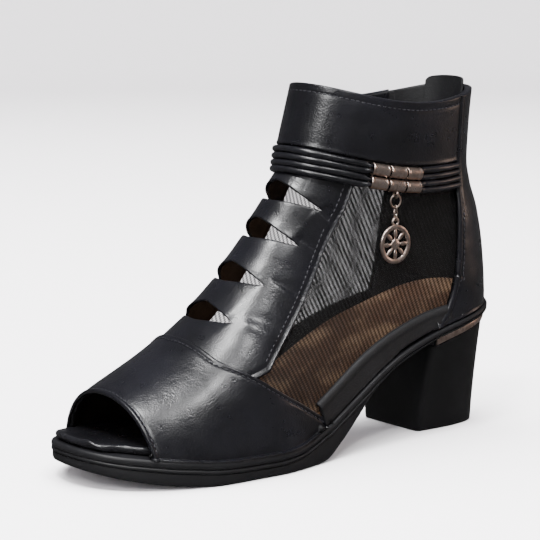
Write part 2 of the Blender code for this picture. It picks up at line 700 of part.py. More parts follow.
def make_cord(number, leather):
    """One rolled ankle cord, thinner where it runs through its beads."""
    level = 1.5 - number
    clear = GAP * 2 + OVERLAY_GAP
    ends = [-counter_share(CORD_STATION, -1, clear), counter_share(CORD_STATION, 1, clear)]
    first = bead_frame(0, 0)[0][0] - BEAD_PITCH / 2
    last = bead_frame(2, 0)[0][0] + BEAD_PITCH / 2
    shares = np.linspace(ends[0], ends[1], 240)
    path = skin(CORD_STATION, shares)
    outer_side = shares < 0
    edge = BEAD_TAPER
    squeeze = np.where(outer_side, np.clip((path[:, 0] - first + edge) / edge, 0, 1)
                       * np.clip((last + edge - path[:, 0]) / edge, 0, 1), 0.0)
    squeeze = squeeze * squeeze * (3 - 2 * squeeze)
    run = np.concatenate([[0.0], np.cumsum(np.linalg.norm(np.diff(path, axis=0), axis=1))])
    keep = np.linspace(0.0, run[-1], 28)
    close = run[(squeeze > 0.02) & (squeeze < 0.98)]
    beaded = run[squeeze > 0.98]
    keep = np.unique(np.round(np.concatenate([keep, close[::4], beaded[::11]]), 4))
    shares, squeeze = np.interp(keep, run, shares), np.interp(keep, run, squeeze)
    along, up, out = cord_frame(shares)
    radius = CORD_DIAMETER / 2
    row_middle = 1.0 if level > 0 else -1.0
    in_bead = row_middle + 0.36 * (1.0 if level - row_middle > 0 else -1.0)
    height = ((1 - squeeze) * level + squeeze * in_bead) * CORD_PITCH
    stand = (1 - squeeze) * (radius + CORD_STANDOFF) + squeeze * BEAD_OFFSET
    tall = (1 - squeeze) * radius + squeeze * radius * 0.64
    deep = (1 - squeeze) * radius + squeeze * radius * 0.80
    centres = skin(CORD_STATION, shares) + out * stand[:, None] + up * height[:, None]
    return finish_shape(tube(f"ankle_cord_{number + 1}", centres, up * tall[:, None],
                             out * deep[:, None], leather, sides=6))


def ring_points(middle, first, second, long, wide, wire, count, sides=6):
    """Closed oval of wire: its centres and the two half axes of each round section."""
    angle = np.arange(count) * 2 * math.pi / count
    centres = (middle + np.cos(angle)[:, None] * first * (long - wire) / 2
               + np.sin(angle)[:, None] * second * (wide - wire) / 2)
    outward = np.cos(angle)[:, None] * first + np.sin(angle)[:, None] * second
    flat = np.cross(first, second)
    return centres, outward * wire / 2, np.repeat(flat[None] * wire / 2, count, axis=0)


def make_charm(metal):
    """Jump ring in the middle bead's loop, three links and an openwork disc that hang plumb."""
    middle, along, up, out = bead_frame(1, 1)
    x_axis, y_axis, z_axis = np.eye(3)
    loop_wire, loop_size = LOOP_WIRE, LOOP_SIZE
    loop_middle = middle - z_axis * (BEAD_HEIGHT / 2 + loop_size / 2 - loop_wire * 0.8)
    bead = bpy.data.objects["bead_5"]
    loop = tube("loop", *ring_points(loop_middle, z_axis, y_axis, loop_size, loop_size, loop_wire, 12),
                metal, sides=8, closed=True)
    combine(bead, [loop], "UNION")
    hinge = loop_middle
    ring_middle = hinge - z_axis * (RING_DIAMETER - RING_WIRE) / 2
    path = ring_points(ring_middle, z_axis, x_axis, RING_DIAMETER, RING_DIAMETER, RING_WIRE, 16)
    pieces = [tube("charm_ring", *path, metal, sides=6, closed=True)]
    low = ring_middle[2] - (RING_DIAMETER - RING_WIRE) / 2
    top = low + RING_WIRE / 2 + LINK_WIRE / 2 + GAP
    pitch = LINK_LENGTH - LINK_WIRE
    for number in range(3):
        centre = np.array([ring_middle[0], ring_middle[1], top - pitch / 2])
        wide = y_axis if number % 2 == 0 else x_axis
        path = ring_points(centre, z_axis, wide, LINK_LENGTH, LINK_WIDTH, LINK_WIRE, 10)
        pieces.append(tube(f"charm_link_{number + 1}", *path, metal, sides=5, closed=True))
        low = top - pitch
        top = low + LINK_WIRE + GAP
    lug_wire, lug_size = LUG_WIRE, LUG_SIZE
    lug_top = low + LINK_WIRE / 2 + GAP + lug_wire / 2
    lug_middle = np.array([ring_middle[0], ring_middle[1], lug_top - (lug_size - lug_wire) / 2])
    disc_middle = lug_middle - z_axis * (lug_size / 2 + CHARM_DIAMETER / 2 - lug_wire * 0.8)
    pieces.append(make_medallion(disc_middle, lug_middle, lug_size, lug_wire, metal))
    return hinge, ring_middle - z_axis * (RING_DIAMETER - RING_WIRE) / 2, pieces


def make_medallion(disc_middle, lug_middle, lug_size, lug_wire, metal):
    """Round disc facing outwards, with a raised rim and eight openings between its petals."""
    x_axis, y_axis, z_axis = np.eye(3)
    radius = CHARM_DIAMETER / 2
    rim = CHARM_RIM
    thin = CHARM_WALL * 0.30
    profile = ((0.0, thin), (radius - rim, thin), (radius - rim, CHARM_WALL / 2),
               (radius - 0.0003, CHARM_WALL / 2), (radius, CHARM_WALL / 2 - 0.0003))
    full = list(profile) + [(r, -d) for r, d in reversed(profile)]
    sides = 28
    angle = np.arange(sides) * 2 * math.pi / sides
    vertices, faces, rings = [], [], []
    for r, d in full:
        if r == 0.0:
            rings.append([len(vertices)] * (sides + 1))
            vertices.append(disc_middle + y_axis * d)
        else:
            start = len(vertices)
            vertices.extend(disc_middle + x_axis * r * math.cos(a) + z_axis * r * math.sin(a) + y_axis * d
                            for a in angle)
            rings.append(list(range(start, start + sides)) + [start])
    for first, second in zip(rings[:-1], rings[1:]):
        faces += [tuple(dict.fromkeys(q)) for q in strip(first, second)]
    disc = add_object("charm_medallion", vertices, faces, metal)
    cutters = []
    for number in range(8):
        turn = (number + 0.5) * math.pi / 4
        outline = [(0.30, 0.12), (0.52, 0.26), (0.70, 0.26), (0.77, 0.14)]
        loop = outline + [(r, -s) for r, s in reversed(outline)]
        points = [disc_middle + (x_axis * math.cos(turn + s) + z_axis * math.sin(turn + s)) * r * radius
                  for r, s in loop]
        cutters.append(prism("petal_gap", points, y_axis * -0.003, y_axis * 0.003, metal))
    combine(disc, cutters, "DIFFERENCE")
    path = ring_points(lug_middle, z_axis, x_axis, lug_size, lug_size, lug_wire, 12)
    lug = tube("lug", *path, metal, sides=8, closed=True)
    return combine(disc, [lug], "UNION")


# Sole, insole and heel

OUTLINE_POINTS = 27


def outline_half(side, offset, count=OUTLINE_POINTS):
    """Feather line in plan on one side, toe tip to back seam, moved out by offset."""
    edge = -1 if side > 0 else 0
    foot = STATIONS <= SEAM + 1e-9
    both = np.vstack([LAST[foot, edge, :2], LAST[foot, 0 if side > 0 else -1, :2][::-1]])
    tangent = np.gradient(both, axis=0)
    tangent[0] = np.array([0.0, side * 1.0])
    n = int(foot.sum())
    tangent[n - 1] = tangent[n] = np.array([0.0, -side * 1.0])
    tangent /= np.maximum(np.linalg.norm(tangent, axis=1, keepdims=True), 1e-12)
    normal = np.stack([-tangent[:, 1], tangent[:, 0]], axis=1) * side
    half, normal = both[:n], normal[:n]
    run = np.concatenate([[0.0], np.cumsum(np.linalg.norm(np.diff(half, axis=0), axis=1))])
    part = 0.5 - 0.5 * np.cos(np.linspace(0, math.pi, count))
    part = 0.35 * part + 0.65 * np.linspace(0, 1, count)
    even = part * run[-1]
    point = np.stack([np.interp(even, run, half[:, k]) for k in (0, 1)], axis=1)
    way = np.stack([np.interp(even, run, normal[:, k]) for k in (0, 1)], axis=1)
    way /= np.linalg.norm(way, axis=1, keepdims=True)
    offset = np.broadcast_to(np.asarray(offset(point[:, 0]) if callable(offset) else offset), (count,))
    point = point + way * offset[:, None]
    return point


def outline_ring(offset, height):
    """Both halves as one loop of points in space; height gives z from x."""
    outer, inner = outline_half(-1, offset), outline_half(1, offset)
    tip = 0.5 * (outer[0] + inner[0])
    heel = 0.5 * (outer[-1] + inner[-1])
    loop = np.vstack([tip, outer[1:-1], heel, inner[1:-1][::-1]])
    return np.column_stack([loop, height(loop[:, 0])])


def lofted(name, rings, finish):
    """Closed body from loops stacked bottom to top, capped by strips across the foot."""
    count = len(rings[0])
    index = np.arange(len(rings) * count).reshape(-1, count)
    wrapped = np.hstack([index, index[:, :1]])
    faces = sheet_faces(wrapped)
    half = count // 2
    for ring in (index[0], index[-1]):
        left = ring[:half + 1]
        right = np.concatenate([[ring[0]], ring[:half - 1:-1]])
        faces += [tuple(dict.fromkeys(q)) for q in strip(left, right)]
    return add_object(name, np.vstack(rings), faces, finish)


def make_outsole(rubber):
    """Platform sole: flat tread under the ball, rolled top lip, band and grooves on its side."""
    def level(above_bottom, below_top, share):
        def height(x):
            bottom, top = sole_bottom(x), feather(x) - GAP
            body = top - bottom
            lip = np.minimum(LIP_HEIGHT, body * 0.82)
            rest = body - lip
            band = np.minimum(BAND_HEIGHT, rest * 0.35)
            return (bottom + above_bottom * np.minimum(1.0, rest / 0.004) + share[0] * rest
                    + share[1] * band + below_top * lip)
        return height

    def groove(depth):
        def offset(x):
            rest = feather(x) - sole_bottom(x) - LIP_HEIGHT
            return RIM - depth * np.clip(rest / 0.004, 0.0, 1.0)
        return offset

    rings = [
        outline_ring(groove(0.0016), level(0.0, 0.0, (0.0, 0.0))),
        outline_ring(groove(0.0005), level(0.0008, 0.0, (0.0, 0.0))),
        outline_ring(groove(0.0003), level(0.0, 0.0, (0.93, -1.0))),
        outline_ring(groove(0.0003 + GROOVE_DEPTH), level(0.0, 0.0, (0.97, -1.0))),
        outline_ring(groove(0.0), level(0.0, 0.0, (1.0, -0.85))),
        outline_ring(groove(0.0), level(0.0, 0.0, (1.0, -0.15))),
        outline_ring(groove(GROOVE_DEPTH), level(0.0, 0.0, (1.0, 0.0))),
        outline_ring(RIM - 0.0002, level(0.0, 0.16, (1.0, 0.0))),
        outline_ring(RIM + 0.0002, level(0.0, 0.42, (1.0, 0.0))),
        outline_ring(RIM - 0.0006, level(0.0, 0.74, (1.0, 0.0))),
        outline_ring(RIM - 0.0026, level(0.0, 1.0, (1.0, 0.0))),
    ]
    return finish_shape(lofted("outsole", rings, rubber))


def make_insole(finish):
    """Padded footbed: thin under the open toe, thicker under the arch and heel."""
    open_to = (TOE_OPENING_X[0] - 0.004, TOE_OPENING_X[0] - 0.011)

    def inside(proud, drawn):
        def offset(x):
            part = np.clip((x - open_to[1]) / (open_to[0] - open_to[1]), 0, 1)
            part = part * part * (3 - 2 * part)
            return proud * (1 - part) - (UPPER_WALL + INSOLE_CLEARANCE + drawn) * part
        return offset

    def level(share):
        def height(x):
            part = np.clip((x + 0.78 * SHOE_LENGTH) / (0.45 * SHOE_LENGTH), 0, 1)
            part = part * part * (3 - 2 * part)
            return feather(x) + share * (INSOLE_TOE + (INSOLE_HEEL - INSOLE_TOE) * part)
        return height

    rings = [
        outline_ring(inside(0.0002, 0.0002), level(0.0)),
        outline_ring(inside(0.0010, 0.0006), level(0.3)),
        outline_ring(inside(0.0006, 0.0014), level(0.75)),
        outline_ring(inside(-0.0008, INSOLE_ROUND), level(1.0)),
    ]
    return finish_shape(lofted("insole", rings, finish))


TOE_OPENING_X = [float(skin(TOE_OPENING[k][1], TOE_OPENING[k][0])[0]) for k in (-1, 0)]
BREAST_X = -0.0765 * SHOE_LENGTH


def seat_height(x):
    """Height of the heel's top face under the sole."""
    return sole_bottom(x) - GAP


def heel_loop(proud, height_share, drop, breast_back=0.0):
    """Loop round the heel at a share of its height, or a drop below its top face."""
    halves = []
    for side in (-1, 1):
        half = outline_half(side, RIM - HEEL_INSET + proud, 400)
        half = half[half[:, 0] > BREAST_X + breast_back]
        half = np.vstack([[BREAST_X + breast_back, half[0, 1]], half])
        run = np.concatenate([[0.0], np.cumsum(np.linalg.norm(np.diff(half, axis=0), axis=1))])
        even = np.linspace(0, run[-1], 13)
        halves.append(np.stack([np.interp(even, run, half[:, k]) for k in (0, 1)], axis=1))
    outer, inner = halves
    loop = np.vstack([outer[:-1], 0.5 * (outer[-1:] + inner[-1:]), inner[-2::-1]])
    front, back = loop[:, 0].min(), loop[:, 0].max()
    share = np.clip(height_share, 0, 1) ** 1.25
    base_front = HEEL_BASE_SHIFT - HEEL_BASE_LENGTH / 2
    base_back = HEEL_BASE_SHIFT + HEEL_BASE_LENGTH / 2
    new_front = front + (base_front - front) * (1 - share)
    new_back = back + (base_back - back) * (1 - share)
    part = (loop[:, 0] - front) / (back - front)
    half_width = np.abs(loop[:, 1]).max()
    width = half_width + (HEEL_BASE_WIDTH / 2 - half_width) * (1 - share)
    squarer = 1 - 0.42 * (1 - share)
    wide = np.sign(loop[:, 1]) * width * (np.abs(loop[:, 1]) / half_width) ** squarer
    return np.column_stack([new_front + part * (new_back - new_front), wide,
                            height_share * seat_height(loop[:, 0]) - drop])


def make_heel(covering):
    """Block heel: flat tread, tapering sides, a rebate round its top for the metal trim."""
    rebate = TRIM_HEIGHT + 2 * GAP
    rings = [heel_loop(-0.0006, 0.0, 0.0), heel_loop(0.0, 0.012, 0.0)]
    rings += [heel_loop(0.0, share, 0.0) for share in (0.25, 0.5, 0.75)]
    rings += [heel_loop(0.0, 1.0, rebate), heel_loop(-TRIM_WALL - GAP, 1.0, rebate),
              heel_loop(-TRIM_WALL - GAP, 1.0, 0.0)]
    count = len(rings[0])
    half = (count - 1) // 2
    index = np.arange(len(rings) * count).reshape(-1, count)
    wrapped = np.hstack([index, index[:, :1]])
    faces = sheet_faces(wrapped)
    for ring in (index[0], index[-1]):
        faces += [tuple(dict.fromkeys(q)) for q in strip(ring[:half + 1], ring[half:][::-1])]
    return finish_shape(add_object("heel_block", np.vstack(rings), faces, covering))


def make_trim(metal):
    """Metal strip bent round the top of the heel, open at the breast."""
    start = 0.0018
    low, high = TRIM_HEIGHT + GAP, GAP
    corners = [heel_loop(0.0002, 1.0, low, start), heel_loop(0.0004, 1.0, 0.5 * (low + high), start),
               heel_loop(0.0002, 1.0, high, start), heel_loop(-TRIM_WALL, 1.0, high, start),
               heel_loop(-TRIM_WALL, 1.0, low, start)]
    grid = np.stack(corners, axis=1)
    index = np.arange(grid.shape[0] * 5).reshape(-1, 5)
    wrapped = np.hstack([index, index[:, :1]])
    faces = sheet_faces(wrapped) + [tuple(index[0]), tuple(index[-1][::-1])]
    return finish_shape(add_object("heel_trim", grid.reshape(-1, 3), faces, metal))


# Back zip

def seam_strip(stations, half_width, offset_out, offset_in, name, finish, columns=3):
    """Strip laid across the back seam, the same width on both sides of it."""
    rows_outer, rows_inner = [], []
    for station in stations:
        reach = share_where(station, 1, lambda p: np.where(p[:, 0] > 0, half_width - np.abs(p[:, 1]), -1.0))
        inner_side = np.linspace(reach, 1.0, columns)
        outer_side = -np.linspace(1.0, reach, columns)[1:]
        shares = np.concatenate([inner_side, outer_side])
        rows_outer.append(skin(station, shares, offset_out))
        rows_inner.append(skin(station, shares, offset_in))
    return shell(name, np.array(rows_outer), np.array(rows_inner), finish)


def make_zip(tape_finish, leather, metal):
    """Zip tape on the back seam, its slider, the hanging pull and the guard inside the collar."""
    tape = seam_strip(np.linspace(SEAM + 0.05, COLLAR_STATION - 0.02, 9), ZIP_HALF_WIDTH - GAP,
                      OVERLAY_GAP + TAPE_WALL, OVERLAY_GAP, "zip_tape", tape_finish)
    finish_shape(tape)
    collar_seam = skin(COLLAR_STATION, 1.0)
    low = COLLAR_STATION - GUARD_HEIGHT / np.linalg.norm(collar_seam - skin(COLLAR_STATION - 1, 1.0))
    high = COLLAR_STATION + GUARD_RISE / np.linalg.norm(skin(COLLAR_STATION + 1, 1.0) - collar_seam)
    guard = seam_strip(np.linspace(low, high, 6), GUARD_HALF_WIDTH, -UPPER_WALL - OVERLAY_GAP,
                       -UPPER_WALL - OVERLAY_GAP - GUARD_WALL, "zip_guard", leather, columns=7)
    finish_shape(guard)
    x_axis, y_axis, z_axis = np.eye(3)
    slider_station = COLLAR_STATION - 0.42
    seat = skin(slider_station, 1.0, OVERLAY_GAP + TAPE_WALL + GAP)
    lean = skin(slider_station + 0.2, 1.0) - skin(slider_station - 0.2, 1.0)
    up = lean / np.linalg.norm(lean)
    out = np.cross(y_axis, up)
    out = out if out[0] > 0 else -out
    half_long, half_wide = SLIDER_LENGTH / 2, SLIDER_WIDTH / 2
    body_outline = [seat + up * b * half_long + y_axis * a * half_wide
                    for a, b in ((-0.6, -1.0), (0.6, -1.0), (1.0, 0.2), (0.8, 1.0), (-0.8, 1.0), (-1.0, 0.2))]
    slider = prism("zip_slider", body_outline, out * 0.0003, out * SLIDER_DEPTH, metal)
    eye_reach = EYE_RADIUS + 2 * GAP
    hinge = seat + out * (SLIDER_DEPTH + eye_reach) + up * half_long * 0.35
    cheek_wall = SLIDER_CHEEK
    barrel_half = PULL_WIDTH * 0.20
    joined = []
    for side in (-1, 1):
        outline = [hinge + up * b - out * a
                   for a, b in ((eye_reach + 0.0004, -0.0016), (-0.0005, -0.0009), (-0.0009, 0.0),
                                (-0.0005, 0.0009), (eye_reach + 0.0004, 0.0016))]
        near = side * (barrel_half + GAP)
        joined.append(prism("cheek", outline, y_axis * near, y_axis * (near + side * cheek_wall), metal))
    reach = barrel_half + GAP + cheek_wall * 0.5
    centres = np.array([hinge - y_axis * reach, hinge + y_axis * reach])
    across, upright = (np.array([axis, axis]) * PIN_RADIUS for axis in (x_axis, z_axis))
    joined.append(tube("pin", centres, across, upright, metal, sides=10))
    combine(slider, joined, "UNION")
    finish_shape(slider)
    pull = make_pull(hinge, barrel_half, leather)
    return hinge, [tape, guard, slider, pull]


def make_pull(hinge, barrel_half, leather):
    """Teardrop pull that hangs from the slider's pin by a rolled eye."""
    x_axis, y_axis, z_axis = np.eye(3)
    angle = np.arange(16) * math.pi / 8
    bore = PIN_RADIUS + GAP
    rings = []
    for way, radius in ((-barrel_half, EYE_RADIUS), (barrel_half, EYE_RADIUS), (barrel_half, bore),
                        (-barrel_half, bore)):
        rings.append(y_axis * way + np.cos(angle)[:, None] * x_axis * radius
                     + np.sin(angle)[:, None] * z_axis * radius)
    index = np.arange(64).reshape(4, 16)
    wrapped = np.hstack([index, index[:, :1]])
    wrapped = np.vstack([wrapped, wrapped[:1]])
    pull = add_object("zip_pull", np.vstack(rings), sheet_faces(wrapped), leather)
    half = PULL_WIDTH / 2
    drop = PULL_LENGTH - EYE_RADIUS
    right = [(0.38, bore * 1.25 / drop), (0.42, 0.12), (0.60, 0.42), (0.90, 0.72), (1.00, 0.84),
             (0.86, 0.94), (0.45, 0.99)]
    loop = right + [(0.0, 1.0)] + [(-a, b) for a, b in reversed(right)]
    points = [y_axis * a * half - z_axis * b * drop for a, b in loop]
    leaf = prism("leaf", points, x_axis * -PULL_WALL / 2, x_axis * PULL_WALL / 2, leather)
    combine(pull, [leaf], "UNION")
    pull.location = Vector(hinge)
    return finish_shape(pull)


def move_origin(made, place):
    """Put an object's origin on its joint without moving its shape."""
    made.data.transform(Matrix.Translation(-Vector(place)))
    made.location = Vector(place)


def main():
    for old in list(bpy.data.objects):
        bpy.data.objects.remove(old, do_unlink=True)
    leather = material("black calf leather", "1b1b20", 0.38)
    patent = material("black glossy edge leather", "141418", 0.25)
    sole_black = material("black moulded sole", "17171a", 0.45)
    sock = material("brown leather sock", "6b4a35", 0.55)
    net = material("black mesh", "101012", 0.80)
    bronze = material("dark bronze metal", "6f625b", 0.30, 1.0)
    textile = material("black zip tape", "121214", 0.70)

    make_outsole(sole_black)
    make_insole(sock)
    make_heel(patent)
    make_trim(bronze)
    make_upper(leather)
    make_mesh_panel(-1, "mesh_panel_outer", net)
    make_mesh_panel(1, "mesh_panel_inner", net)
    make_counter(-1, "counter_outer", leather)
    make_counter(1, "counter_inner", leather)
    make_cuff(leather)
    for number in range(4):
        make_cord(number, leather)
    for row in range(2):
        for column in range(3):
            make_bead(column, row, bronze)
    hinge, ring_low, pieces = make_charm(bronze)
    for made in pieces:
        finish_shape(made)
        move_origin(made, hinge if made.name == "charm_ring" else ring_low)
    make_zip(textile, leather, bronze)


main()
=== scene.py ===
"""Looks of a left bootie sandal: leather, mesh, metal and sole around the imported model.

Every soft piece is a surface over the last, the form that the shoe is made on.  A place on the
last is a station, counted from the toe tip to above the collar, and a share across it, from -1
at the outer feather line over 0 on the ridge to +1 at the inner one.  Lengths are metres.
"""
import math

import bmesh
import bpy
import numpy as np
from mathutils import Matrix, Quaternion, Vector


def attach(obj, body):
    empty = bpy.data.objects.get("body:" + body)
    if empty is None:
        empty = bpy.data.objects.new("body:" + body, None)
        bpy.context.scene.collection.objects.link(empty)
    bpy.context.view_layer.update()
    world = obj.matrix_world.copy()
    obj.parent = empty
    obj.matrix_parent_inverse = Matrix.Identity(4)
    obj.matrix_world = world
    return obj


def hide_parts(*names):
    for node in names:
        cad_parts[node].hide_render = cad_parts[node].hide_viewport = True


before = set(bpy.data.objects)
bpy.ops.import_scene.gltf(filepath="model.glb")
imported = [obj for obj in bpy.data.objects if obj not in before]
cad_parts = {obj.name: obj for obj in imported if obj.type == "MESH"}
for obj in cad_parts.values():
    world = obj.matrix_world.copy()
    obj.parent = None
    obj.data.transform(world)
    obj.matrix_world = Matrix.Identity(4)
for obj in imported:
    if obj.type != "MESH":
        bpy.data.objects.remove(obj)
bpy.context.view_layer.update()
BODY = "shoe"
MM = 0.001

# Driving sizes, the same as the model's
SHOE_LENGTH = 0.240
BALL_WIDTH = 0.089
INSTEP_HEIGHT = 0.1245
COLLAR_HEIGHT = 0.169
COLLAR_LENGTH = 0.0967
COLLAR_WIDTH = 0.057
HEEL_HEIGHT = 0.0502
TOE_SPRING = 0.011
FOREFOOT_SOLE = 0.0112
HEEL_BASE_LENGTH = 0.0435
HEEL_BASE_SHIFT = 0.0012
HEEL_BASE_WIDTH = 0.0415
GAP = 0.0003
UPPER_WALL = 0.0018
VAMP_RAISE = 0.0009
OVERLAY = 0.0017
RIM = 0.0030
LIP_HEIGHT = 0.0036
BAND_HEIGHT = 0.0020
GROOVE_DEPTH = 0.0006
INSOLE_TOE = 0.0036
INSOLE_HEEL = 0.0070
HEEL_INSET = 0.0022
TRIM_HEIGHT = 0.0032
ZIP_HALF_WIDTH = 0.0026
CORD_DIAMETER = 0.0028
CORD_STANDOFF = 0.0007
CORD_PITCH = CORD_DIAMETER + GAP
BEAD_LENGTH = 0.0088
BEAD_DEPTH = 0.0052
BEAD_PITCH = BEAD_LENGTH + 0.0004
BEAD_MIDDLE = -0.184

# Fan sections of the foot: ridge x and z, keel x and z, outer and inner half width, front and
# back closing length, ridge y and bow.  x are shares of the length, widths of the ball width,
# heights and closing lengths of the instep height.
FOOT_SECTIONS = (
    (-0.8480, 0.185, -0.8480, -0.12, 0.006, 0.006, 0.07, 0.08, 0.040, 0.000),
    (-0.8430, 0.207, -0.8430, -0.12, 0.110, 0.096, 0.11, 0.08, 0.042, 0.000),
    (-0.8290, 0.237, -0.8290, -0.12, 0.202, 0.180, 0.16, 0.08, 0.045, 0.000),
    (-0.8030, 0.272, -0.8010, -0.12, 0.290, 0.256, 0.21, 0.08, 0.048, 0.000),
    (-0.7640, 0.312, -0.7560, -0.12, 0.372, 0.332, 0.26, 0.08, 0.048, 0.000),
    (-0.7083, 0.360, -0.6833, -0.12, 0.442, 0.392, 0.31, 0.10, 0.045, 0.000),
    (-0.6375, 0.430, -0.5917, -0.11, 0.483, 0.415, 0.36, 0.12, 0.040, 0.000),
    (-0.5667, 0.530, -0.4833, -0.08, 0.483, 0.398, 0.42, 0.15, 0.030, 0.000),
    (-0.5042, 0.655, -0.3667, -0.02, 0.432, 0.362, 0.47, 0.18, 0.022, 0.000),
    (-0.4500, 0.785, -0.2167, 0.05, 0.374, 0.334, 0.50, 0.23, 0.015, 0.008),
    (-0.4125, 0.888, -0.0583, 0.10, 0.340, 0.320, 0.50, 0.26, 0.010, 0.016),
    (-0.3890, 0.962, 0.0700, 0.22, 0.322, 0.310, 0.48, 0.29, 0.005, 0.028),
)

# Sections of the shaft, in the same columns: x as shares of the collar length from the ankle's
# middle, heights from the instep (0) to the collar (1), widths of the collar width.
ANKLE_MIDDLE = -0.120
SHAFT_SECTIONS = (
    (-0.634, 0.000, 0.580, -1.46, 0.521, 0.500, 0.60, 0.39, 0.0, 0.10),
    (-0.614, 0.065, 0.575, -0.93, 0.512, 0.491, 0.57, 0.42, 0.0, 0.11),
    (-0.599, 0.105, 0.545, -0.44, 0.505, 0.482, 0.55, 0.46, 0.0, 0.12),
    (-0.588, 0.130, 0.500, -0.11, 0.500, 0.475, 0.53, 0.50, 0.0, 0.13),
    (-0.564, 0.402, 0.479, 0.17, 0.500, 0.475, 0.53, 0.52, 0.0, 0.14),
    (-0.522, 0.710, 0.486, 0.58, 0.507, 0.483, 0.53, 0.52, 0.0, 0.16),
    (-0.482, 1.000, 0.500, 0.93, 0.512, 0.491, 0.54, 0.52, 0.0, 0.18),
    (-0.460, 1.170, 0.508, 1.10, 0.517, 0.496, 0.54, 0.52, 0.0, 0.19),
)
FRONT_FULLNESS = 2.12
BACK_FULLNESS = 2.30
COLLAR_STATION = len(FOOT_SECTIONS) + len(SHAFT_SECTIONS) - 2
CORD_STATION = len(FOOT_SECTIONS) + 3.5

# The sole's side line: x share, toe spring share, heel rise share, sole thickness share
SOLE_LINE = (
    (-0.885, 1.03, 0.000, 0.82), (-0.860, 0.84, 0.000, 0.86), (-0.813, 0.53, 0.000, 0.95),
    (-0.754, 0.27, 0.000, 1.03), (-0.692, 0.09, 0.000, 1.03), (-0.642, 0.00, 0.000, 1.00),
    (-0.583, 0.00, 0.000, 0.94), (-0.508, 0.00, 0.000, 0.92), (-0.450, 0.00, 0.000, 1.04),
    (-0.413, 0.00, 0.000, 1.26), (-0.383, 0.00, 0.020, 1.42), (-0.342, 0.00, 0.145, 1.28),
    (-0.292, 0.00, 0.347, 0.95), (-0.238, 0.00, 0.590, 0.52), (-0.192, 0.00, 0.733, 0.38),
    (-0.142, 0.00, 0.835, 0.36), (-0.083, 0.00, 0.926, 0.34), (0.150, 0.00, 1.204, 0.34),
)

# Edges over the last as share and station
TOE_OPENING = ((-1.0, 4.10), (-0.6, 3.95), (0.0, 3.72), (0.6, 3.60), (1.0, 3.52))
VAMP_SEAM = ((0.0, 6.40), (0.35, 6.52), (0.62, 7.20), (0.85, 7.90), (1.0, 8.25))

# Side view of the window's four edges: x share of the length, height share of the collar's
PANEL_EDGE = ((-0.504, 0.269), (-0.396, 0.434), (-0.328, 0.578), (-0.277, 0.697), (-0.262, 0.745))
WRAP_EDGE = (
    (-0.398, 0.156), (-0.325, 0.213), (-0.269, 0.259), (-0.208, 0.298), (-0.160, 0.322),
    (-0.079, 0.353), (-0.040, 0.361),
)
COUNTER_EDGE = (
    (0.280, -0.088), (0.320, -0.066), (0.350, -0.050), (0.420, -0.032), (0.533, -0.019),
    (0.663, -0.012), (0.770, -0.008), (1.100, -0.008),
)

# Cut-outs across the instep
CUTOUT_HEIGHTS = (0.410, 0.508, 0.620, 0.718)
CUTOUT_HALF_WIDTH = 0.0205
CUTOUT_ABOVE = 0.0050
CUTOUT_BELOW = 0.0046

HALF_SHARES = 60
FOOT_STATIONS = 261
SHAFT_STATIONS = 121


# The last

def smooth(knots, values, at):
    """Cubic through the knots that never overshoots them; values may have columns."""
    knots = np.asarray(knots, float)
    values = np.asarray(values, float)
    flat = values.ndim == 1
    if flat:
        values = values[:, None]
    step = np.diff(knots)[:, None]
    slope = np.diff(values, axis=0) / step
    tangent = np.empty_like(values)
    tangent[0] = slope[0]
    tangent[-1] = slope[-1]
    before, after = slope[:-1], slope[1:]
    near, far = 2 * step[1:] + step[:-1], step[1:] + 2 * step[:-1]
    same_way = before * after > 0
    mean = (near + far) / (near / np.where(same_way, before, 1.0) + far / np.where(same_way, after, 1.0))
    tangent[1:-1] = np.where(same_way, mean, 0.0)
    at = np.clip(np.asarray(at, float), knots[0], knots[-1])
    shape = at.shape
    at = at.ravel()
    k = np.clip(np.searchsorted(knots, at, side="right") - 1, 0, len(knots) - 2)
    u = ((at - knots[k]) / step[k, 0])[:, None]
    h = step[k]
    result = ((2 * u ** 3 - 3 * u ** 2 + 1) * values[k] + (u ** 3 - 2 * u ** 2 + u) * h * tangent[k]
              + (-2 * u ** 3 + 3 * u ** 2) * values[k + 1] + (u ** 3 - u ** 2) * h * tangent[k + 1])
    return result[:, 0].reshape(shape) if flat else result.reshape(*shape, -1)


def ease(value):
    """Smooth step from 0 to 1: three squares less two cubes of the clipped value."""
    value = np.clip(value, 0.0, 1.0)
    return value * value * (3 - 2 * value)


def bell(value):
    """Soft ridge, e to the minus square of the value."""
    return np.exp(-np.square(value))


def section_rows():
    """Both tables of sections as lengths in metres, one row for each station."""
    width, height, rise, long = BALL_WIDTH, INSTEP_HEIGHT, COLLAR_HEIGHT - INSTEP_HEIGHT, COLLAR_LENGTH
    foot = np.array(FOOT_SECTIONS) * np.array(
        [SHOE_LENGTH, height, SHOE_LENGTH, height, width, width, height, height, width, height])
    shaft = np.array(SHAFT_SECTIONS) * np.array(
        [long, rise, long, rise, COLLAR_WIDTH, COLLAR_WIDTH, long, long, COLLAR_WIDTH, rise])
    shaft[:, [0, 2]] += ANKLE_MIDDLE * SHOE_LENGTH
    shaft[:, [1, 3]] += INSTEP_HEIGHT
    return np.vstack([foot, shaft])


ROWS = section_rows()
SOLE_TABLE = np.array(SOLE_LINE)


def sole_bottom(x):
    """Height of the sole's underside at x."""
    height = SOLE_TABLE[:, 1] * TOE_SPRING + SOLE_TABLE[:, 2] * HEEL_HEIGHT
    return smooth(SOLE_TABLE[:, 0] * SHOE_LENGTH, height, x)


def feather(x):
    """Height of the line where the upper meets the sole, at x."""
    return sole_bottom(x) + smooth(SOLE_TABLE[:, 0] * SHOE_LENGTH, SOLE_TABLE[:, 3] * FOREFOOT_SOLE, x)


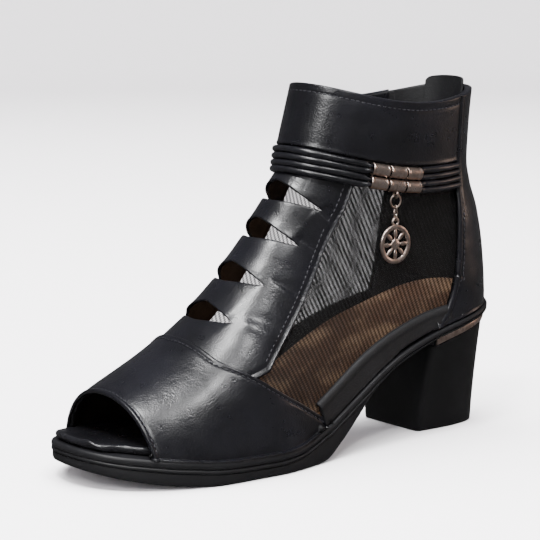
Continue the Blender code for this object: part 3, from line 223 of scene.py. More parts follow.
def seam_station():
    """Station whose keel point lies on the feather line: there the back seam begins."""
    low, high = float(len(FOOT_SECTIONS) - 2), float(COLLAR_STATION)
    for _ in range(50):
        middle = 0.5 * (low + high)
        row = smooth(np.arange(len(ROWS)), ROWS, middle)
        if row[3] < feather(row[2]):
            low = middle
        else:
            high = middle
    return high


def half_section(row, side, closed):
    """Points from the ridge down one side of a section, evenly spaced along it.

    The half width grows from the ridge as a superellipse over the front closing length, stays
    full, and shrinks again over the back closing length to the keel.  Below the seam station
    the section ends where it crosses the feather line.
    """
    ridge_x, ridge_z, keel_x, keel_z, outer, inner, front, back, ridge_y, bow = row
    depth = math.hypot(keel_x - ridge_x, keel_z - ridge_z)
    fit = min(1.0, 0.98 * depth / (front + back))
    front, back = front * fit, back * fit
    width = outer if side < 0 else inner
    angle = np.linspace(0.0, math.pi / 2, 161)
    front_way = front * (1 - np.cos(angle) ** (2 / FRONT_FULLNESS))
    front_wide = width * np.sin(angle) ** (2 / FRONT_FULLNESS)
    back_way = depth - back + back * np.sin(angle) ** (2 / BACK_FULLNESS)
    back_wide = width * np.cos(angle) ** (2 / BACK_FULLNESS)
    way = np.concatenate([front_way, back_way]) / depth
    wide = np.concatenate([front_wide, back_wide])
    x = ridge_x + (keel_x - ridge_x) * way
    z = ridge_z + (keel_z - ridge_z) * way - bow * np.sin(math.pi * np.clip(way, 0, 1))
    y = ridge_y * (1 - way) + side * wide
    y[-1] = 0.0 if closed else y[-1]
    if not closed:
        over = z - feather(x)
        cut = int(np.argmax(over < 0))
        part = over[cut - 1] / (over[cut - 1] - over[cut])
        x, y, z = (np.append(v[:cut], v[cut - 1] + part * (v[cut] - v[cut - 1])) for v in (x, y, z))
    run = np.concatenate([[0.0], np.cumsum(np.sqrt(np.diff(x) ** 2 + np.diff(y) ** 2 + np.diff(z) ** 2))])
    even = np.linspace(0.0, run[-1], HALF_SHARES + 1)
    return np.stack([np.interp(even, run, v) for v in (x, y, z)], axis=1)


SEAM = seam_station()
STATIONS = np.concatenate([SEAM * (0.5 - 0.5 * np.cos(np.linspace(0.0, math.pi, FOOT_STATIONS))),
                           np.linspace(SEAM, len(ROWS) - 1, SHAFT_STATIONS)[1:]])
SHARES = np.linspace(-1.0, 1.0, 2 * HALF_SHARES + 1)


def last_grid():
    """Points and outward normals of the last, on the grid of stations and shares."""
    points = []
    for station, row in zip(STATIONS, smooth(np.arange(len(ROWS)), ROWS, STATIONS)):
        closed = station >= SEAM - 1e-9
        outer = half_section(row, -1, closed)
        inner = half_section(row, 1, closed)
        points.append(np.vstack([outer[::-1], inner[1:]]))
    points = np.array(points)
    normals = np.cross(np.gradient(points, axis=0), np.gradient(points, axis=1))
    shaft = STATIONS >= SEAM - 1e-9
    joined = normals[shaft, 0] + normals[shaft, -1]
    joined[:, 1] = 0.0
    normals[shaft, 0] = joined
    normals[shaft, -1] = joined
    for edge in (0, -1):
        normals[~shaft, edge, 2] = 0.0
    normals /= np.maximum(np.linalg.norm(normals, axis=2, keepdims=True), 1e-12)
    return points, normals


LAST, NORMALS = last_grid()


def sample(grid, i, j):
    """Catmull-Rom blend of a grid at row i and column j: four by four neighbours, cubic weights."""
    i0 = np.clip(np.floor(i).astype(int), 0, grid.shape[0] - 2)
    j0 = np.clip(np.floor(j).astype(int), 0, grid.shape[1] - 2)

    def weights(u):
        return (0.5 * (-u + 2 * u ** 2 - u ** 3), 0.5 * (2 - 5 * u ** 2 + 3 * u ** 3),
                0.5 * (u + 4 * u ** 2 - 3 * u ** 3), 0.5 * (-u ** 2 + u ** 3))

    total = 0.0
    across = weights(j - j0)
    for a, row_weight in enumerate(weights(i - i0)):
        row = np.clip(i0 + a - 1, 0, grid.shape[0] - 1)
        for b, column_weight in enumerate(across):
            column = np.clip(j0 + b - 1, 0, grid.shape[1] - 1)
            total = total + grid[row, column] * (row_weight * column_weight)[..., None]
    return total


def skin(station, share, offset=0.0):
    """Points on the last at arrays of stations and shares, moved out by offset."""
    station, share = np.broadcast_arrays(np.asarray(station, float), np.asarray(share, float))
    i = np.interp(station, STATIONS, np.arange(len(STATIONS)))
    j = np.interp(share, SHARES, np.arange(len(SHARES)))
    normal = sample(NORMALS, i, j)
    normal /= np.linalg.norm(normal, axis=-1, keepdims=True)
    offset = np.asarray(offset, float)
    return sample(LAST, i, j) + normal * (offset[..., None] if offset.ndim else offset)


def locate(first, second, a, b, side):
    """Stations and shares on one side where points have components a and b along two directions.

    Newton's rule on the surface: each round solves the two by two system of its slopes.
    """
    a, b = np.broadcast_arrays(np.asarray(a, float), np.asarray(b, float))
    shape = a.shape
    a, b = a.ravel(), b.ravel()
    rough_station = STATIONS[::6]
    rough_share = side * np.linspace(0.0, 1.0, 31)
    rough = skin(rough_station[:, None], rough_share[None]).reshape(-1, 3)
    rough_a, rough_b = rough @ first, rough @ second
    nearest = np.array([int(np.argmin((rough_a - p) ** 2 + (rough_b - q) ** 2)) for p, q in zip(a, b)])
    station = rough_station[nearest // 31]
    share = rough_share[nearest % 31]
    for _ in range(14):
        here = skin(station, share)
        by_station = (skin(station + 0.02, share) - skin(station - 0.02, share)) / 0.04
        by_share = (skin(station, share + 0.004) - skin(station, share - 0.004)) / 0.008
        miss_a, miss_b = a - here @ first, b - here @ second
        aa, ab, ba, bb = by_station @ first, by_share @ first, by_station @ second, by_share @ second
        size = aa * bb - ab * ba
        size = np.where(np.abs(size) < 1e-9, 1e-9, size)
        move_station = np.clip((miss_a * bb - ab * miss_b) / size, -0.5, 0.5)
        move_share = np.clip((aa * miss_b - ba * miss_a) / size, -0.06, 0.06)
        station = np.clip(station + 0.9 * move_station, 0.05, len(ROWS) - 1.0)
        share = np.clip(share + 0.9 * move_share, -1.0, 1.0)
    return station.reshape(shape), share.reshape(shape)


X_AXIS, Y_AXIS, Z_AXIS = np.eye(3)


def on_side(x, z, side):
    """Stations and shares on one side at side-view places x and z."""
    return locate(X_AXIS, Z_AXIS, x, z, side)


def share_where(station, side, test):
    """Share from the ridge, on one side of a station, at which test(points) turns positive."""
    shares = np.linspace(0.0, 1.0, 401)
    value = test(skin(station, side * shares))
    k = int(np.argmax(value > 0))
    if value[k] <= 0:
        return 1.0
    if k == 0:
        return 0.0
    part = value[k - 1] / (value[k - 1] - value[k])
    return shares[k - 1] + part * (shares[k] - shares[k - 1])


def run_along(points, axis=0):
    """Length along a grid's axis from its first row, at every point."""
    steps = np.linalg.norm(np.diff(points, axis=axis), axis=-1)
    first = np.zeros_like(np.take(steps, [0], axis=axis))
    return np.concatenate([first, np.cumsum(steps, axis=axis)], axis=axis)


# Meshes

def sheet_faces(rows, columns, wrap=False, start=0):
    """Quads of a grid of vertex numbers, as one array; wrap joins its last column to its first."""
    index = np.arange(rows * columns).reshape(rows, columns) + start
    if wrap:
        index = np.hstack([index, index[:, :1]])
    return np.stack([index[:-1, :-1], index[1:, :-1], index[1:, 1:], index[:-1, 1:]], axis=-1).reshape(-1, 4)


def put_mesh(name, points, faces, uv=None, merge=0.0, turn=False, closed=False):
    """Mesh object from arrays: points, quads or triangles, and a place on the cloth for each point."""
    mesh = bpy.data.meshes.new(name)
    points = np.asarray(points, float).reshape(-1, 3)
    groups = faces if isinstance(faces, list) else [faces]
    groups = [np.asarray(g, int)[:, ::-1] if turn else np.asarray(g, int) for g in groups]
    loops = np.concatenate([g.ravel() for g in groups])
    sizes = np.concatenate([np.full(len(g), g.shape[1]) for g in groups])
    mesh.vertices.add(len(points))
    mesh.vertices.foreach_set("co", points.astype(np.float32).ravel())
    mesh.loops.add(len(loops))
    mesh.loops.foreach_set("vertex_index", loops.astype(np.int32))
    mesh.polygons.add(len(sizes))
    mesh.polygons.foreach_set("loop_start", np.concatenate([[0], np.cumsum(sizes)[:-1]]).astype(np.int32))
    if uv is not None:
        layer = mesh.uv_layers.new(name="UVMap")
        places = np.asarray(uv, float).reshape(-1, 2)[loops]
        layer.data.foreach_set("uv", places.astype(np.float32).ravel())
    mesh.update(calc_edges=True)
    mesh.validate()
    if merge or closed:
        body = bmesh.new()
        body.from_mesh(mesh)
        if merge:
            bmesh.ops.remove_doubles(body, verts=body.verts, dist=merge)
        if closed:
            bmesh.ops.recalc_face_normals(body, faces=body.faces)
        body.to_mesh(mesh)
        body.free()
    mesh.shade_smooth()
    made = bpy.data.objects.new(name, mesh)
    bpy.context.scene.collection.objects.link(made)
    return made


def dress(made, slot, *finishes, body=BODY, replaces=()):
    """Gives a piece its finishes and the body it rides on; the slot is not used."""
    for finish in finishes:
        made.data.materials.append(finish)
    if made.name not in PIECES:
        PIECES.append(made.name)
    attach(made, body)
    if replaces:
        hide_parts(*replaces)
    return made


PIECES = []


def thicken(made, wall, lining=False):
    """Gives a sheet its wall, on the foot's side; a lining takes the piece's second finish."""
    step = made.modifiers.new("wall", "SOLIDIFY")
    step.thickness = wall
    step.offset = -1.0
    step.use_rim = True
    step.material_offset = 1 if lining else 0
    return made


EDGE_STEPS = np.array([0.0, 0.10, 0.22, 0.38, 0.60, 0.9, 1.25, 1.65, 2.1, 2.6, 3.1, 3.7, 4.4, 5.3]) * MM


def spaced(length, pitch, first=True, last=True):
    """Shares of a length, closer together towards the ends that are edges of a piece."""
    head = EDGE_STEPS if first else np.array([0.0])
    tail = length - EDGE_STEPS[::-1] if last else np.array([length])
    count = max(2, int(math.ceil((tail[0] - head[-1]) / pitch)) + 1)
    middle = np.linspace(head[-1], tail[0], count)[1:-1]
    return np.concatenate([head, middle, tail]) / length


def rounded(way, radius):
    """Fall of an edge's quarter round at a distance from it: radius less the circle's height."""
    part = np.clip(1 - way / radius, 0, 1)
    return radius * (1 - np.sqrt(np.maximum(1 - part ** 2, 0)))


def tube(name, centres, tall, deep, sides=12, closed=False, uv_length=True):
    """Round profile carried along a path: cosine of the angle times tall, sine times deep."""
    angle = np.arange(sides) * 2 * math.pi / sides
    rings = (centres[:, None] + np.cos(angle)[None, :, None] * tall[:, None]
             + np.sin(angle)[None, :, None] * deep[:, None])
    count = len(centres)
    index = np.arange(count * sides).reshape(count, sides)
    index = np.hstack([index, index[:, :1]])
    if closed:
        index = np.vstack([index, index[:1]])
    faces = np.stack([index[:-1, :-1], index[1:, :-1], index[1:, 1:], index[:-1, 1:]], axis=-1).reshape(-1, 4)
    groups = [faces]
    points = rings.reshape(-1, 3)
    if not closed:
        points = np.vstack([points, centres[:1], centres[-1:]])
        first, final = count * sides, count * sides + 1
        groups.append(np.stack([index[0, 1:], index[0, :-1], np.full(sides, first)], axis=1))
        groups.append(np.stack([index[-1, :-1], index[-1, 1:], np.full(sides, final)], axis=1))
    return put_mesh(name, points, groups, closed=True)


def scatter(template, faces, places, along, out):
    """Copies of one small shape, one at each place, turned to its along and out directions."""
    along = along / np.linalg.norm(along, axis=-1, keepdims=True)
    out = out - along * np.sum(out * along, axis=-1, keepdims=True)
    out = out / np.linalg.norm(out, axis=-1, keepdims=True)
    side = np.cross(out, along)
    points = (places[:, None] + along[:, None] * template[None, :, :1] + side[:, None] * template[None, :, 1:2]
              + out[:, None] * template[None, :, 2:3])
    numbers = faces[None] + (np.arange(len(places)) * len(template))[:, None, None]
    return points.reshape(-1, 3), numbers.reshape(-1, faces.shape[1])


def grain_shape(length, width, height):
    """Long rounded grain: a ball of six rings by eight points, stretched to the three sizes."""
    rings, points = 6, 8
    lift = np.linspace(-math.pi / 2, math.pi / 2, rings)
    turn = np.arange(points) * 2 * math.pi / points
    x = np.sin(lift)[:, None] * np.ones(points) * length / 2
    y = np.cos(lift)[:, None] * np.cos(turn) * width / 2
    z = np.cos(lift)[:, None] * np.sin(turn) * height / 2
    return np.stack([x, y, z], axis=-1).reshape(-1, 3), sheet_faces(rings, points, wrap=True)


STITCH_PITCH = 0.0026
STITCH_LENGTH = 0.0019
STITCH_WIDTH = 0.00055
STITCH_SHAPE = grain_shape(STITCH_LENGTH, STITCH_WIDTH, 0.0005)


def stitch_row(points, out):
    """Stitches a pitch apart along a path of points, each dipping into the leather at its ends."""
    run = run_along(points)
    count = max(2, int(run[-1] / STITCH_PITCH))
    at = (np.arange(count) + 0.5) * run[-1] / count
    place = np.stack([np.interp(at, run, points[:, k]) for k in range(3)], axis=1)
    ahead = np.stack([np.interp(at + 0.0004, run, points[:, k]) for k in range(3)], axis=1)
    behind = np.stack([np.interp(at - 0.0004, run, points[:, k]) for k in range(3)], axis=1)
    outward = np.stack([np.interp(at, run, out[:, k]) for k in range(3)], axis=1)
    return scatter(*STITCH_SHAPE, place, ahead - behind, outward)


def seam_row(stations, shares, offset):
    """Stitches along a line of stations and shares at a height over the last."""
    points = skin(stations, shares, offset)
    out = skin(stations, shares, 1.0) - skin(stations, shares)
    return stitch_row(points, out)


def joined(name, rows):
    """One mesh of several sets of points and faces."""
    start, points, faces = 0, [], []
    for some_points, some_faces in rows:
        points.append(some_points)
        faces.append(some_faces + start)
        start += len(some_points)
    return put_mesh(name, np.vstack(points), np.vstack(faces), closed=True)


# Materials

def linear(hex_colour):
    """An sRGB hex colour as linear red, green, blue and alpha."""
    levels = [int(hex_colour[i:i + 2], 16) / 255.0 for i in (0, 2, 4)]
    return (*[c / 12.92 if c < 0.04045 else ((c + 0.055) / 1.055) ** 2.4 for c in levels], 1.0)


def add(tree, kind, feeds=None, **settings):
    """One node of a kind with its settings; feeds gives each input a value or another's output."""
    made = tree.nodes.new(kind)
    for name, value in settings.items():
        setattr(made, name, value)
    for name, value in (feeds or {}).items():
        if isinstance(value, bpy.types.NodeSocket):
            tree.links.new(value, made.inputs[name])
        else:
            made.inputs[name].default_value = value
    return made


def new_material(name):
    """An empty material, its tree and its Principled shader."""
    made = bpy.data.materials.new(name)
    made.use_nodes = True
    tree = made.node_tree
    return made, tree, tree.nodes["Principled BSDF"]


def mapped(tree, value, low, high, to_low, to_high):
    """Output of a value carried from one range to another, clamped."""
    made = add(tree, "ShaderNodeMapRange", {"Value": value, "From Min": low, "From Max": high,
                                            "To Min": to_low, "To Max": to_high})
    return made.outputs["Result"]


def mixed(tree, factor, first, second, blend="MIX"):
    """Colour blended from first to second by a factor."""
    made = add(tree, "ShaderNodeMix", data_type="RGBA", blend_type=blend)
    for socket, value in ((made.inputs[0], factor), (made.inputs[6], first), (made.inputs[7], second)):
        if isinstance(value, bpy.types.NodeSocket):
            tree.links.new(value, socket)
        else:
            socket.default_value = value
    return made.outputs[2]


def leather(name, dark, light, roughness, coat, grain=0.9, pebble=0.00075, fold=0.5):
    """Chrome-tanned leather with a pigment finish.

    Pores and pebbles a pebble wide give a fine grain, soft undulations 5 mm wide break up the
    gloss, and the finish is a thin coat.  The pebbles are drawn larger than the real 0.3 mm ones.
    """
    made, tree, shader = new_material(name)
    place = add(tree, "ShaderNodeTexCoord").outputs["Object"]
    soft = add(tree, "ShaderNodeTexNoise", {"Vector": place, "Scale": 150.0, "Detail": 3.0, "Roughness": 0.55})
    broad = add(tree, "ShaderNodeTexNoise", {"Vector": place, "Scale": 34.0, "Detail": 2.0})
    pores = add(tree, "ShaderNodeTexVoronoi", {"Vector": place, "Scale": 1.0 / pebble})
    colour = mixed(tree, mapped(tree, broad.outputs["Fac"], 0.3, 0.7, 0.0, 1.0), linear(dark), linear(light))
    rough = mapped(tree, soft.outputs["Fac"], 0.3, 0.7, roughness - 0.05, roughness + 0.06)
    wave = add(tree, "ShaderNodeBump", {"Strength": fold, "Distance": 0.0005, "Height": soft.outputs["Fac"]})
    fine = add(tree, "ShaderNodeBump", {"Strength": grain, "Distance": 0.00007, "Normal": wave.outputs["Normal"],
                                        "Height": pores.outputs["Distance"]})
    tree.links.new(colour, shader.inputs["Base Color"])
    tree.links.new(rough, shader.inputs["Roughness"])
    tree.links.new(fine.outputs["Normal"], shader.inputs["Normal"])
    shader.inputs["Coat Weight"].default_value = coat
    shader.inputs["Coat Roughness"].default_value = 0.22
    shader.inputs["Specular IOR Level"].default_value = 0.36
    return made


def mesh_cloth(name):
    """Warp-knit nylon mesh: threads round small openings, in diagonal ribs.

    The holes are 0.45 mm wide on the real cloth and are drawn on a 0.9 mm diamond grid, with a
    rib every 2.2 mm, so that they show.  The thread is black with a faint sheen.
    """
    made, tree, shader = new_material(name)
    cloth = add(tree, "ShaderNodeUVMap", uv_map="UVMap").outputs["UV"]
    turned = add(tree, "ShaderNodeMapping", {"Vector": cloth, "Rotation": (0.0, 0.0, math.radians(-24.0))})
    parts = add(tree, "ShaderNodeSeparateXYZ", {"Vector": turned.outputs["Vector"]})

    def wave(value, pitch):
        turns = add(tree, "ShaderNodeMath", {0: value, 1: 2 * math.pi / pitch}, operation="MULTIPLY")
        return add(tree, "ShaderNodeMath", {0: turns.outputs[0]}, operation="SINE").outputs[0]

    holes = add(tree, "ShaderNodeMath", {0: wave(parts.outputs["X"], 0.0009), 1: wave(parts.outputs["Y"], 0.0011)},
                operation="MULTIPLY")
    rib = add(tree, "ShaderNodeMath", {0: wave(parts.outputs["X"], 0.0022), 1: 0.42}, operation="MULTIPLY")
    level = add(tree, "ShaderNodeMath", {0: holes.outputs[0], 1: rib.outputs[0]}, operation="ADD")
    cover = mapped(tree, level.outputs[0], -0.60, 0.30, 0.68, 1.0)
    tree.links.new(cover, shader.inputs["Alpha"])
    bump = add(tree, "ShaderNodeBump", {"Strength": 0.5, "Distance": 0.0002, "Height": level.outputs[0]})
    tree.links.new(bump.outputs["Normal"], shader.inputs["Normal"])
    shader.inputs["Base Color"].default_value = linear("070707")
    shader.inputs["Roughness"].default_value = 0.8
    shader.inputs["Specular IOR Level"].default_value = 0.15
    return made


def plated(name, base, roughness):
    """Zinc alloy plated in dark bronze and polished: faint brushing and spots of darker plate."""
    made, tree, shader = new_material(name)
    place = add(tree, "ShaderNodeTexCoord").outputs["Object"]
    spots = add(tree, "ShaderNodeTexNoise", {"Vector": place, "Scale": 420.0, "Detail": 3.0})
    brushed = add(tree, "ShaderNodeTexNoise", {"Vector": place, "Scale": 2600.0, "Detail": 2.0})
    colour = mixed(tree, mapped(tree, spots.outputs["Fac"], 0.35, 0.65, 0.0, 1.0), linear(base),
                   linear("b7a297"))
    rough = mapped(tree, spots.outputs["Fac"], 0.3, 0.7, roughness - 0.04, roughness + 0.08)
    bump = add(tree, "ShaderNodeBump", {"Strength": 0.25, "Distance": 0.00002, "Height": brushed.outputs["Fac"]})
    tree.links.new(colour, shader.inputs["Base Color"])
    tree.links.new(rough, shader.inputs["Roughness"])
    tree.links.new(bump.outputs["Normal"], shader.inputs["Normal"])
    shader.inputs["Metallic"].default_value = 1.0
    return made


def moulded(name, base, roughness, grain, size):
    """Moulded thermoplastic rubber: an even matt grain from the spark-eroded mould, size wide."""
    made, tree, shader = new_material(name)
    place = add(tree, "ShaderNodeTexCoord").outputs["Object"]
    spark = add(tree, "ShaderNodeTexNoise", {"Vector": place, "Scale": 1.0 / size, "Detail": 4.0})
    flow = add(tree, "ShaderNodeTexNoise", {"Vector": place, "Scale": 45.0, "Detail": 2.0})
    rough = mapped(tree, flow.outputs["Fac"], 0.3, 0.7, roughness - 0.05, roughness + 0.07)
    bump = add(tree, "ShaderNodeBump", {"Strength": grain, "Distance": 0.00006, "Height": spark.outputs["Fac"]})
    tree.links.new(rough, shader.inputs["Roughness"])
    tree.links.new(bump.outputs["Normal"], shader.inputs["Normal"])
    shader.inputs["Base Color"].default_value = linear(base)
    shader.inputs["Specular IOR Level"].default_value = 0.30
    return made


def sock_leather(name):
    """Pigskin sock lining, aniline brown: blurred paler patches at random, fine pores."""
    made, tree, shader = new_material(name)
    place = add(tree, "ShaderNodeTexCoord").outputs["Object"]
    patches = add(tree, "ShaderNodeTexNoise", {"Vector": place, "Scale": 42.0, "Detail": 3.0, "Roughness": 0.5})
    pores = add(tree, "ShaderNodeTexVoronoi", {"Vector": place, "Scale": 1.0 / 0.0008})
    colour = mixed(tree, mapped(tree, patches.outputs["Fac"], 0.46, 0.72, 0.0, 1.0), linear("7a5a46"),
                   linear("cba583"))
    bump = add(tree, "ShaderNodeBump", {"Strength": 0.6, "Distance": 0.00004, "Height": pores.outputs["Distance"]})
    tree.links.new(colour, shader.inputs["Base Color"])
    tree.links.new(bump.outputs["Normal"], shader.inputs["Normal"])
    shader.inputs["Roughness"].default_value = 0.55
    return made


def woven_tape(name):
    """Polyester zip tape: a herringbone of threads 0.5 mm wide, matt black."""
    made, tree, shader = new_material(name)
    place = add(tree, "ShaderNodeTexCoord").outputs["Object"]
    threads = add(tree, "ShaderNodeTexWave", {"Vector": place, "Scale": 1.0 / 0.0005 / 6.28, "Distortion": 0.6},
                  bands_direction="DIAGONAL")
    bump = add(tree, "ShaderNodeBump", {"Strength": 0.7, "Distance": 0.0001, "Height": threads.outputs["Fac"]})
    tree.links.new(bump.outputs["Normal"], shader.inputs["Normal"])
    shader.inputs["Base Color"].default_value = linear("131315")
    shader.inputs["Roughness"].default_value = 0.7
    return made


def thread(name, colour, roughness):
    """Bonded polyester thread: twisted strands 0.25 mm wide catch small lights."""
    made, tree, shader = new_material(name)
    place = add(tree, "ShaderNodeTexCoord").outputs["Object"]
    strands = add(tree, "ShaderNodeTexNoise", {"Vector": place, "Scale": 3000.0, "Detail": 1.0})
    bump = add(tree, "ShaderNodeBump", {"Strength": 0.5, "Distance": 0.00004, "Height": strands.outputs["Fac"]})
    tree.links.new(bump.outputs["Normal"], shader.inputs["Normal"])
    shader.inputs["Base Color"].default_value = linear(colour)
    shader.inputs["Roughness"].default_value = roughness
    return made


CALF = leather("black calf leather", "060608", "0b0b0f", 0.31, 0.22)
EDGE_CALF = leather("black folded edge leather", "070709", "0d0d11", 0.32, 0.25)
WRAP = leather("black wrinkled wrap leather", "08080a", "0e0e11", 0.30, 0.25, fold=0.8)
LINING = leather("black pigskin lining", "08080a", "0d0d0f", 0.60, 0.0, grain=1.2)
HEEL_COVER = leather("black heel cover leather", "050506", "09090b", 0.40, 0.08, grain=0.4, fold=0.1)
NET = mesh_cloth("black knitted mesh")
BRONZE = plated("polished dark bronze plate", "e2cfc4", 0.30)
SOLE = moulded("black moulded rubber", "0c0c0e", 0.48, 0.35, 0.0006)
TREAD = moulded("black tread rubber", "141416", 0.60, 0.6, 0.0009)
SOCK = sock_leather("brown pigskin sock")
TAPE = woven_tape("black zip tape")
THREAD = thread("black sewing thread", "1c1c20", 0.30)
COIL = thread("black nylon zip coil", "1b1b1d", 0.30)


# Upper

def toe_edge(share):
    table = np.array(TOE_OPENING)
    return smooth(table[:, 0], table[:, 1], share)


def vamp_edge(share):
    table = np.array(VAMP_SEAM)
    return smooth(table[:, 0], table[:, 1], np.abs(share))


def set_foot(points, foot):
    """Puts a run of edge points on the feather line, a gap above the sole."""
    points[foot][..., 2] = feather(points[foot][..., 0]) + GAP


BINDING = 0.0026


def make_vamp():
    """Vamp: the last from the toe opening to the seam, raised over the panel.

    Its offset is the raise, plus a half sine bead over the toe's folded binding, less a groove
    beside the bead and quarter rounds at both edges.
    """
    shares = np.sin(np.linspace(-1, 1, 201) * 1.25) / math.sin(1.25)
    part = spaced(0.075, 0.0011)
    toe, seam = toe_edge(shares), vamp_edge(shares)
    stations = toe[None] + (seam - toe)[None] * part[:, None]
    grid_shares = np.repeat(shares[None], len(part), axis=0)
    base = skin(stations, grid_shares)
    from_toe = run_along(base)
    from_seam = from_toe[-1] - from_toe
    offset = np.full(stations.shape, VAMP_RAISE)
    bead = np.sin(math.pi * np.clip(from_toe / BINDING, 0, 1))
    offset += 0.00055 * bead - 0.00035 * bell((from_toe - BINDING - 0.0002) / 0.0005)
    offset += 0.00025 * bell((from_seam - 0.0010) / 0.0009) - 0.00025 * bell((from_seam - 0.0027) / 0.0006)
    offset -= rounded(from_toe, 0.0009) + rounded(from_seam, 0.0005)
    for start, end, width, height in VAMP_FOLDS:
        offset += fold_height(base, start, end, width, height)
    points = skin(stations, grid_shares, offset)
    for column in (0, -1):
        points[:, column, 2] = feather(points[:, column, 0]) + GAP
    made = put_mesh("vamp", points, sheet_faces(*stations.shape))
    thicken(made, UPPER_WALL + VAMP_RAISE * 0.5, lining=True)
    dress(made, "leather", CALF, LINING, replaces=("upper",))
    by_seam = vamp_edge(shares) - 0.0
    rate = np.linalg.norm(skin(by_seam, shares) - skin(by_seam - 0.5, shares), axis=-1) / 0.5
    rows = [seam_row(by_seam - 0.0026 / rate, shares, VAMP_RAISE + 0.00005)]
    by_toe = toe_edge(shares)
    rate = np.linalg.norm(skin(by_toe + 0.5, shares) - skin(by_toe, shares), axis=-1) / 0.5
    inside = np.abs(shares) < 0.97
    rows.append(seam_row((by_toe + (BINDING + 0.0002) / rate)[inside], shares[inside], VAMP_RAISE - 0.0001))
    stitches = joined("vamp_stitches", rows)
    dress(stitches, "leather", THREAD)


def fold_height(points, start, end, width, height):
    """Soft ridge along a line in space: a bell across it, fading in and out along it.

    A trough of half the height lies beside the ridge, above it.
    """
    start, end = np.array(start) * MM, np.array(end) * MM
    line = end - start
    length = np.linalg.norm(line)
    line = line / length
    away = points - start
    along = away @ line / length
    rest = away - (away @ line)[..., None] * line
    distance = np.linalg.norm(rest, axis=-1)
    above = np.where(rest[..., 2] > 0, 1.0, -1.0)
    spread = width * MM * (0.7 + 0.6 * np.clip(along, 0, 1))
    fade = ease((along + 0.05) / 0.2) * ease((1.15 - along) / 0.5)
    ridge = bell(distance / spread)
    trough = 0.5 * bell((distance * above - 1.6 * spread) / spread)
    return height * MM * fade * (ridge - trough)


# Soft folds: start and end in mm, width and height in mm.
VAMP_FOLDS = (
    ((-150, -34, 24), (-120, -37, 21), 5.0, 0.25),
    ((-128, -30, 36), (-104, -38, 27), 4.0, 0.20),
)


def cutout_frame(height):
    """Middle of a cut-out on the ridge, and the direction up the instep there."""
    ridge = np.linspace(4, SEAM, 400)
    station = np.interp(height * COLLAR_HEIGHT, skin(ridge, 0.0)[:, 2], ridge)
    middle = skin(station, 0.0)
    outward = skin(station, 0.0, 1.0) - middle
    outward[1] = 0.0
    outward /= np.linalg.norm(outward)
    up = np.array([outward[2], 0.0, -outward[0]])
    return middle, up if up[2] > 0 else -up


def cutout_lines(height):
    """Stations of a cut-out's lower and upper lip, and of its middle line, as functions of share.

    The upper lip is a peaked line, the lower one a rounder bow, both from one end to the other.
    """
    middle, up = cutout_frame(height)
    across = np.linspace(-1.5, 1.5, 121)
    wide = np.clip(np.abs(across), 0, 1)
    peak = CUTOUT_ABOVE * (1 - np.sqrt(wide ** 2 + 0.004)) / (1 - math.sqrt(0.004))
    peak = np.where(np.abs(across) < 1, np.maximum(peak, 0), 0.0)
    bow = CUTOUT_BELOW * (1 - wide ** 1.5)
    curves = []
    for rise in (-bow, peak, 0 * bow):
        stations = np.empty_like(across)
        shares = np.empty_like(across)
        for side in (-1, 1):
            here = across * side >= 0
            stations[here], shares[here] = locate(Y_AXIS, up, middle[1] + across[here] * CUTOUT_HALF_WIDTH,
                                                  middle @ up + rise[here], side)
        curves.append((shares, stations))
    end = 0.5 * (np.interp(1.0, across, curves[2][0]) - np.interp(-1.0, across, curves[2][0]))
    return curves, end


def along_table(table, count, unit_x=SHOE_LENGTH, unit_z=COLLAR_HEIGHT):
    """Smooth side-view curve through a table of shares, as x and z in metres, evenly spaced."""
    table = np.array(table) * np.array([unit_x, unit_z])
    knots = np.concatenate([[0.0], np.cumsum(np.linalg.norm(np.diff(table, axis=0), axis=1))])
    return smooth(knots, table, np.linspace(0, knots[-1], count))


def panel_limit(side):
    """Stations and unsigned shares of the panel's side edge, from the vamp to behind the cords."""
    curve = along_table(PANEL_EDGE, 60)
    stations, shares = on_side(curve[:, 0], curve[:, 1], side)
    return stations, np.abs(shares)


def make_panel():
    """Instep panel: five bands between the vamp seam, four cut-outs and the cords.

    Each band is a grid between two lines of stations.  Beside a cut-out its two lips fall into
    one line, where the bands are merged.  Offsets: lips rounded, the upper lip lifted and the
    lower one sunk by falling exponentials, folds at the cut-outs' ends, folded side edges.
    """
    limits = {side: panel_limit(side) for side in (-1, 1)}
    half = spaced(0.050, 0.00055, first=False)
    columns = np.concatenate([-half[::-1], half[1:]])

    def limit(stations):
        outer = np.interp(stations, *limits[-1])
        inner = np.interp(stations, *limits[1])
        return np.where(columns[None] < 0, outer, inner)

    cutouts = [cutout_lines(height) for height in CUTOUT_HEIGHTS]
    lines = [(lambda s: vamp_edge(s) - 0.25, None)]
    for curves, end in cutouts:
        lines.append((curves, end))
    bands = []
    for number in range(5):
        bands.append(make_band(number, cutouts, columns, limit))
    points, faces, start = [], [], 0
    for grid in bands:
        points.append(grid.reshape(-1, 3))
        faces.append(sheet_faces(*grid.shape[:2], start=start))
        start += grid.shape[0] * grid.shape[1]
    made = put_mesh("instep_panel", np.vstack(points), np.vstack(faces), merge=2e-5)
    thicken(made, UPPER_WALL - 0.0002, lining=True)
    dress(made, "leather", CALF, LINING, replaces=("upper",))
    rows = []
    for side in (-1, 1):
        stations, shares = limits[side]
        keep = (stations > vamp_edge(shares) + 0.1) & (stations < CORD_STATION - 0.4)
        rate = np.linalg.norm(skin(stations, shares * side) - skin(stations, (shares - 0.1) * side), axis=-1) / 0.1
        for inset in (0.0016, 0.0046):
            rows.append(seam_row(stations[keep], ((shares - inset / rate) * side)[keep], 0.0001))
    stitches = joined("panel_stitches", rows)
    dress(stitches, "leather", THREAD)


CREASE_STARTS = 0.96
LIP_LIFT = 0.0011
LIP_SINK = 0.0007


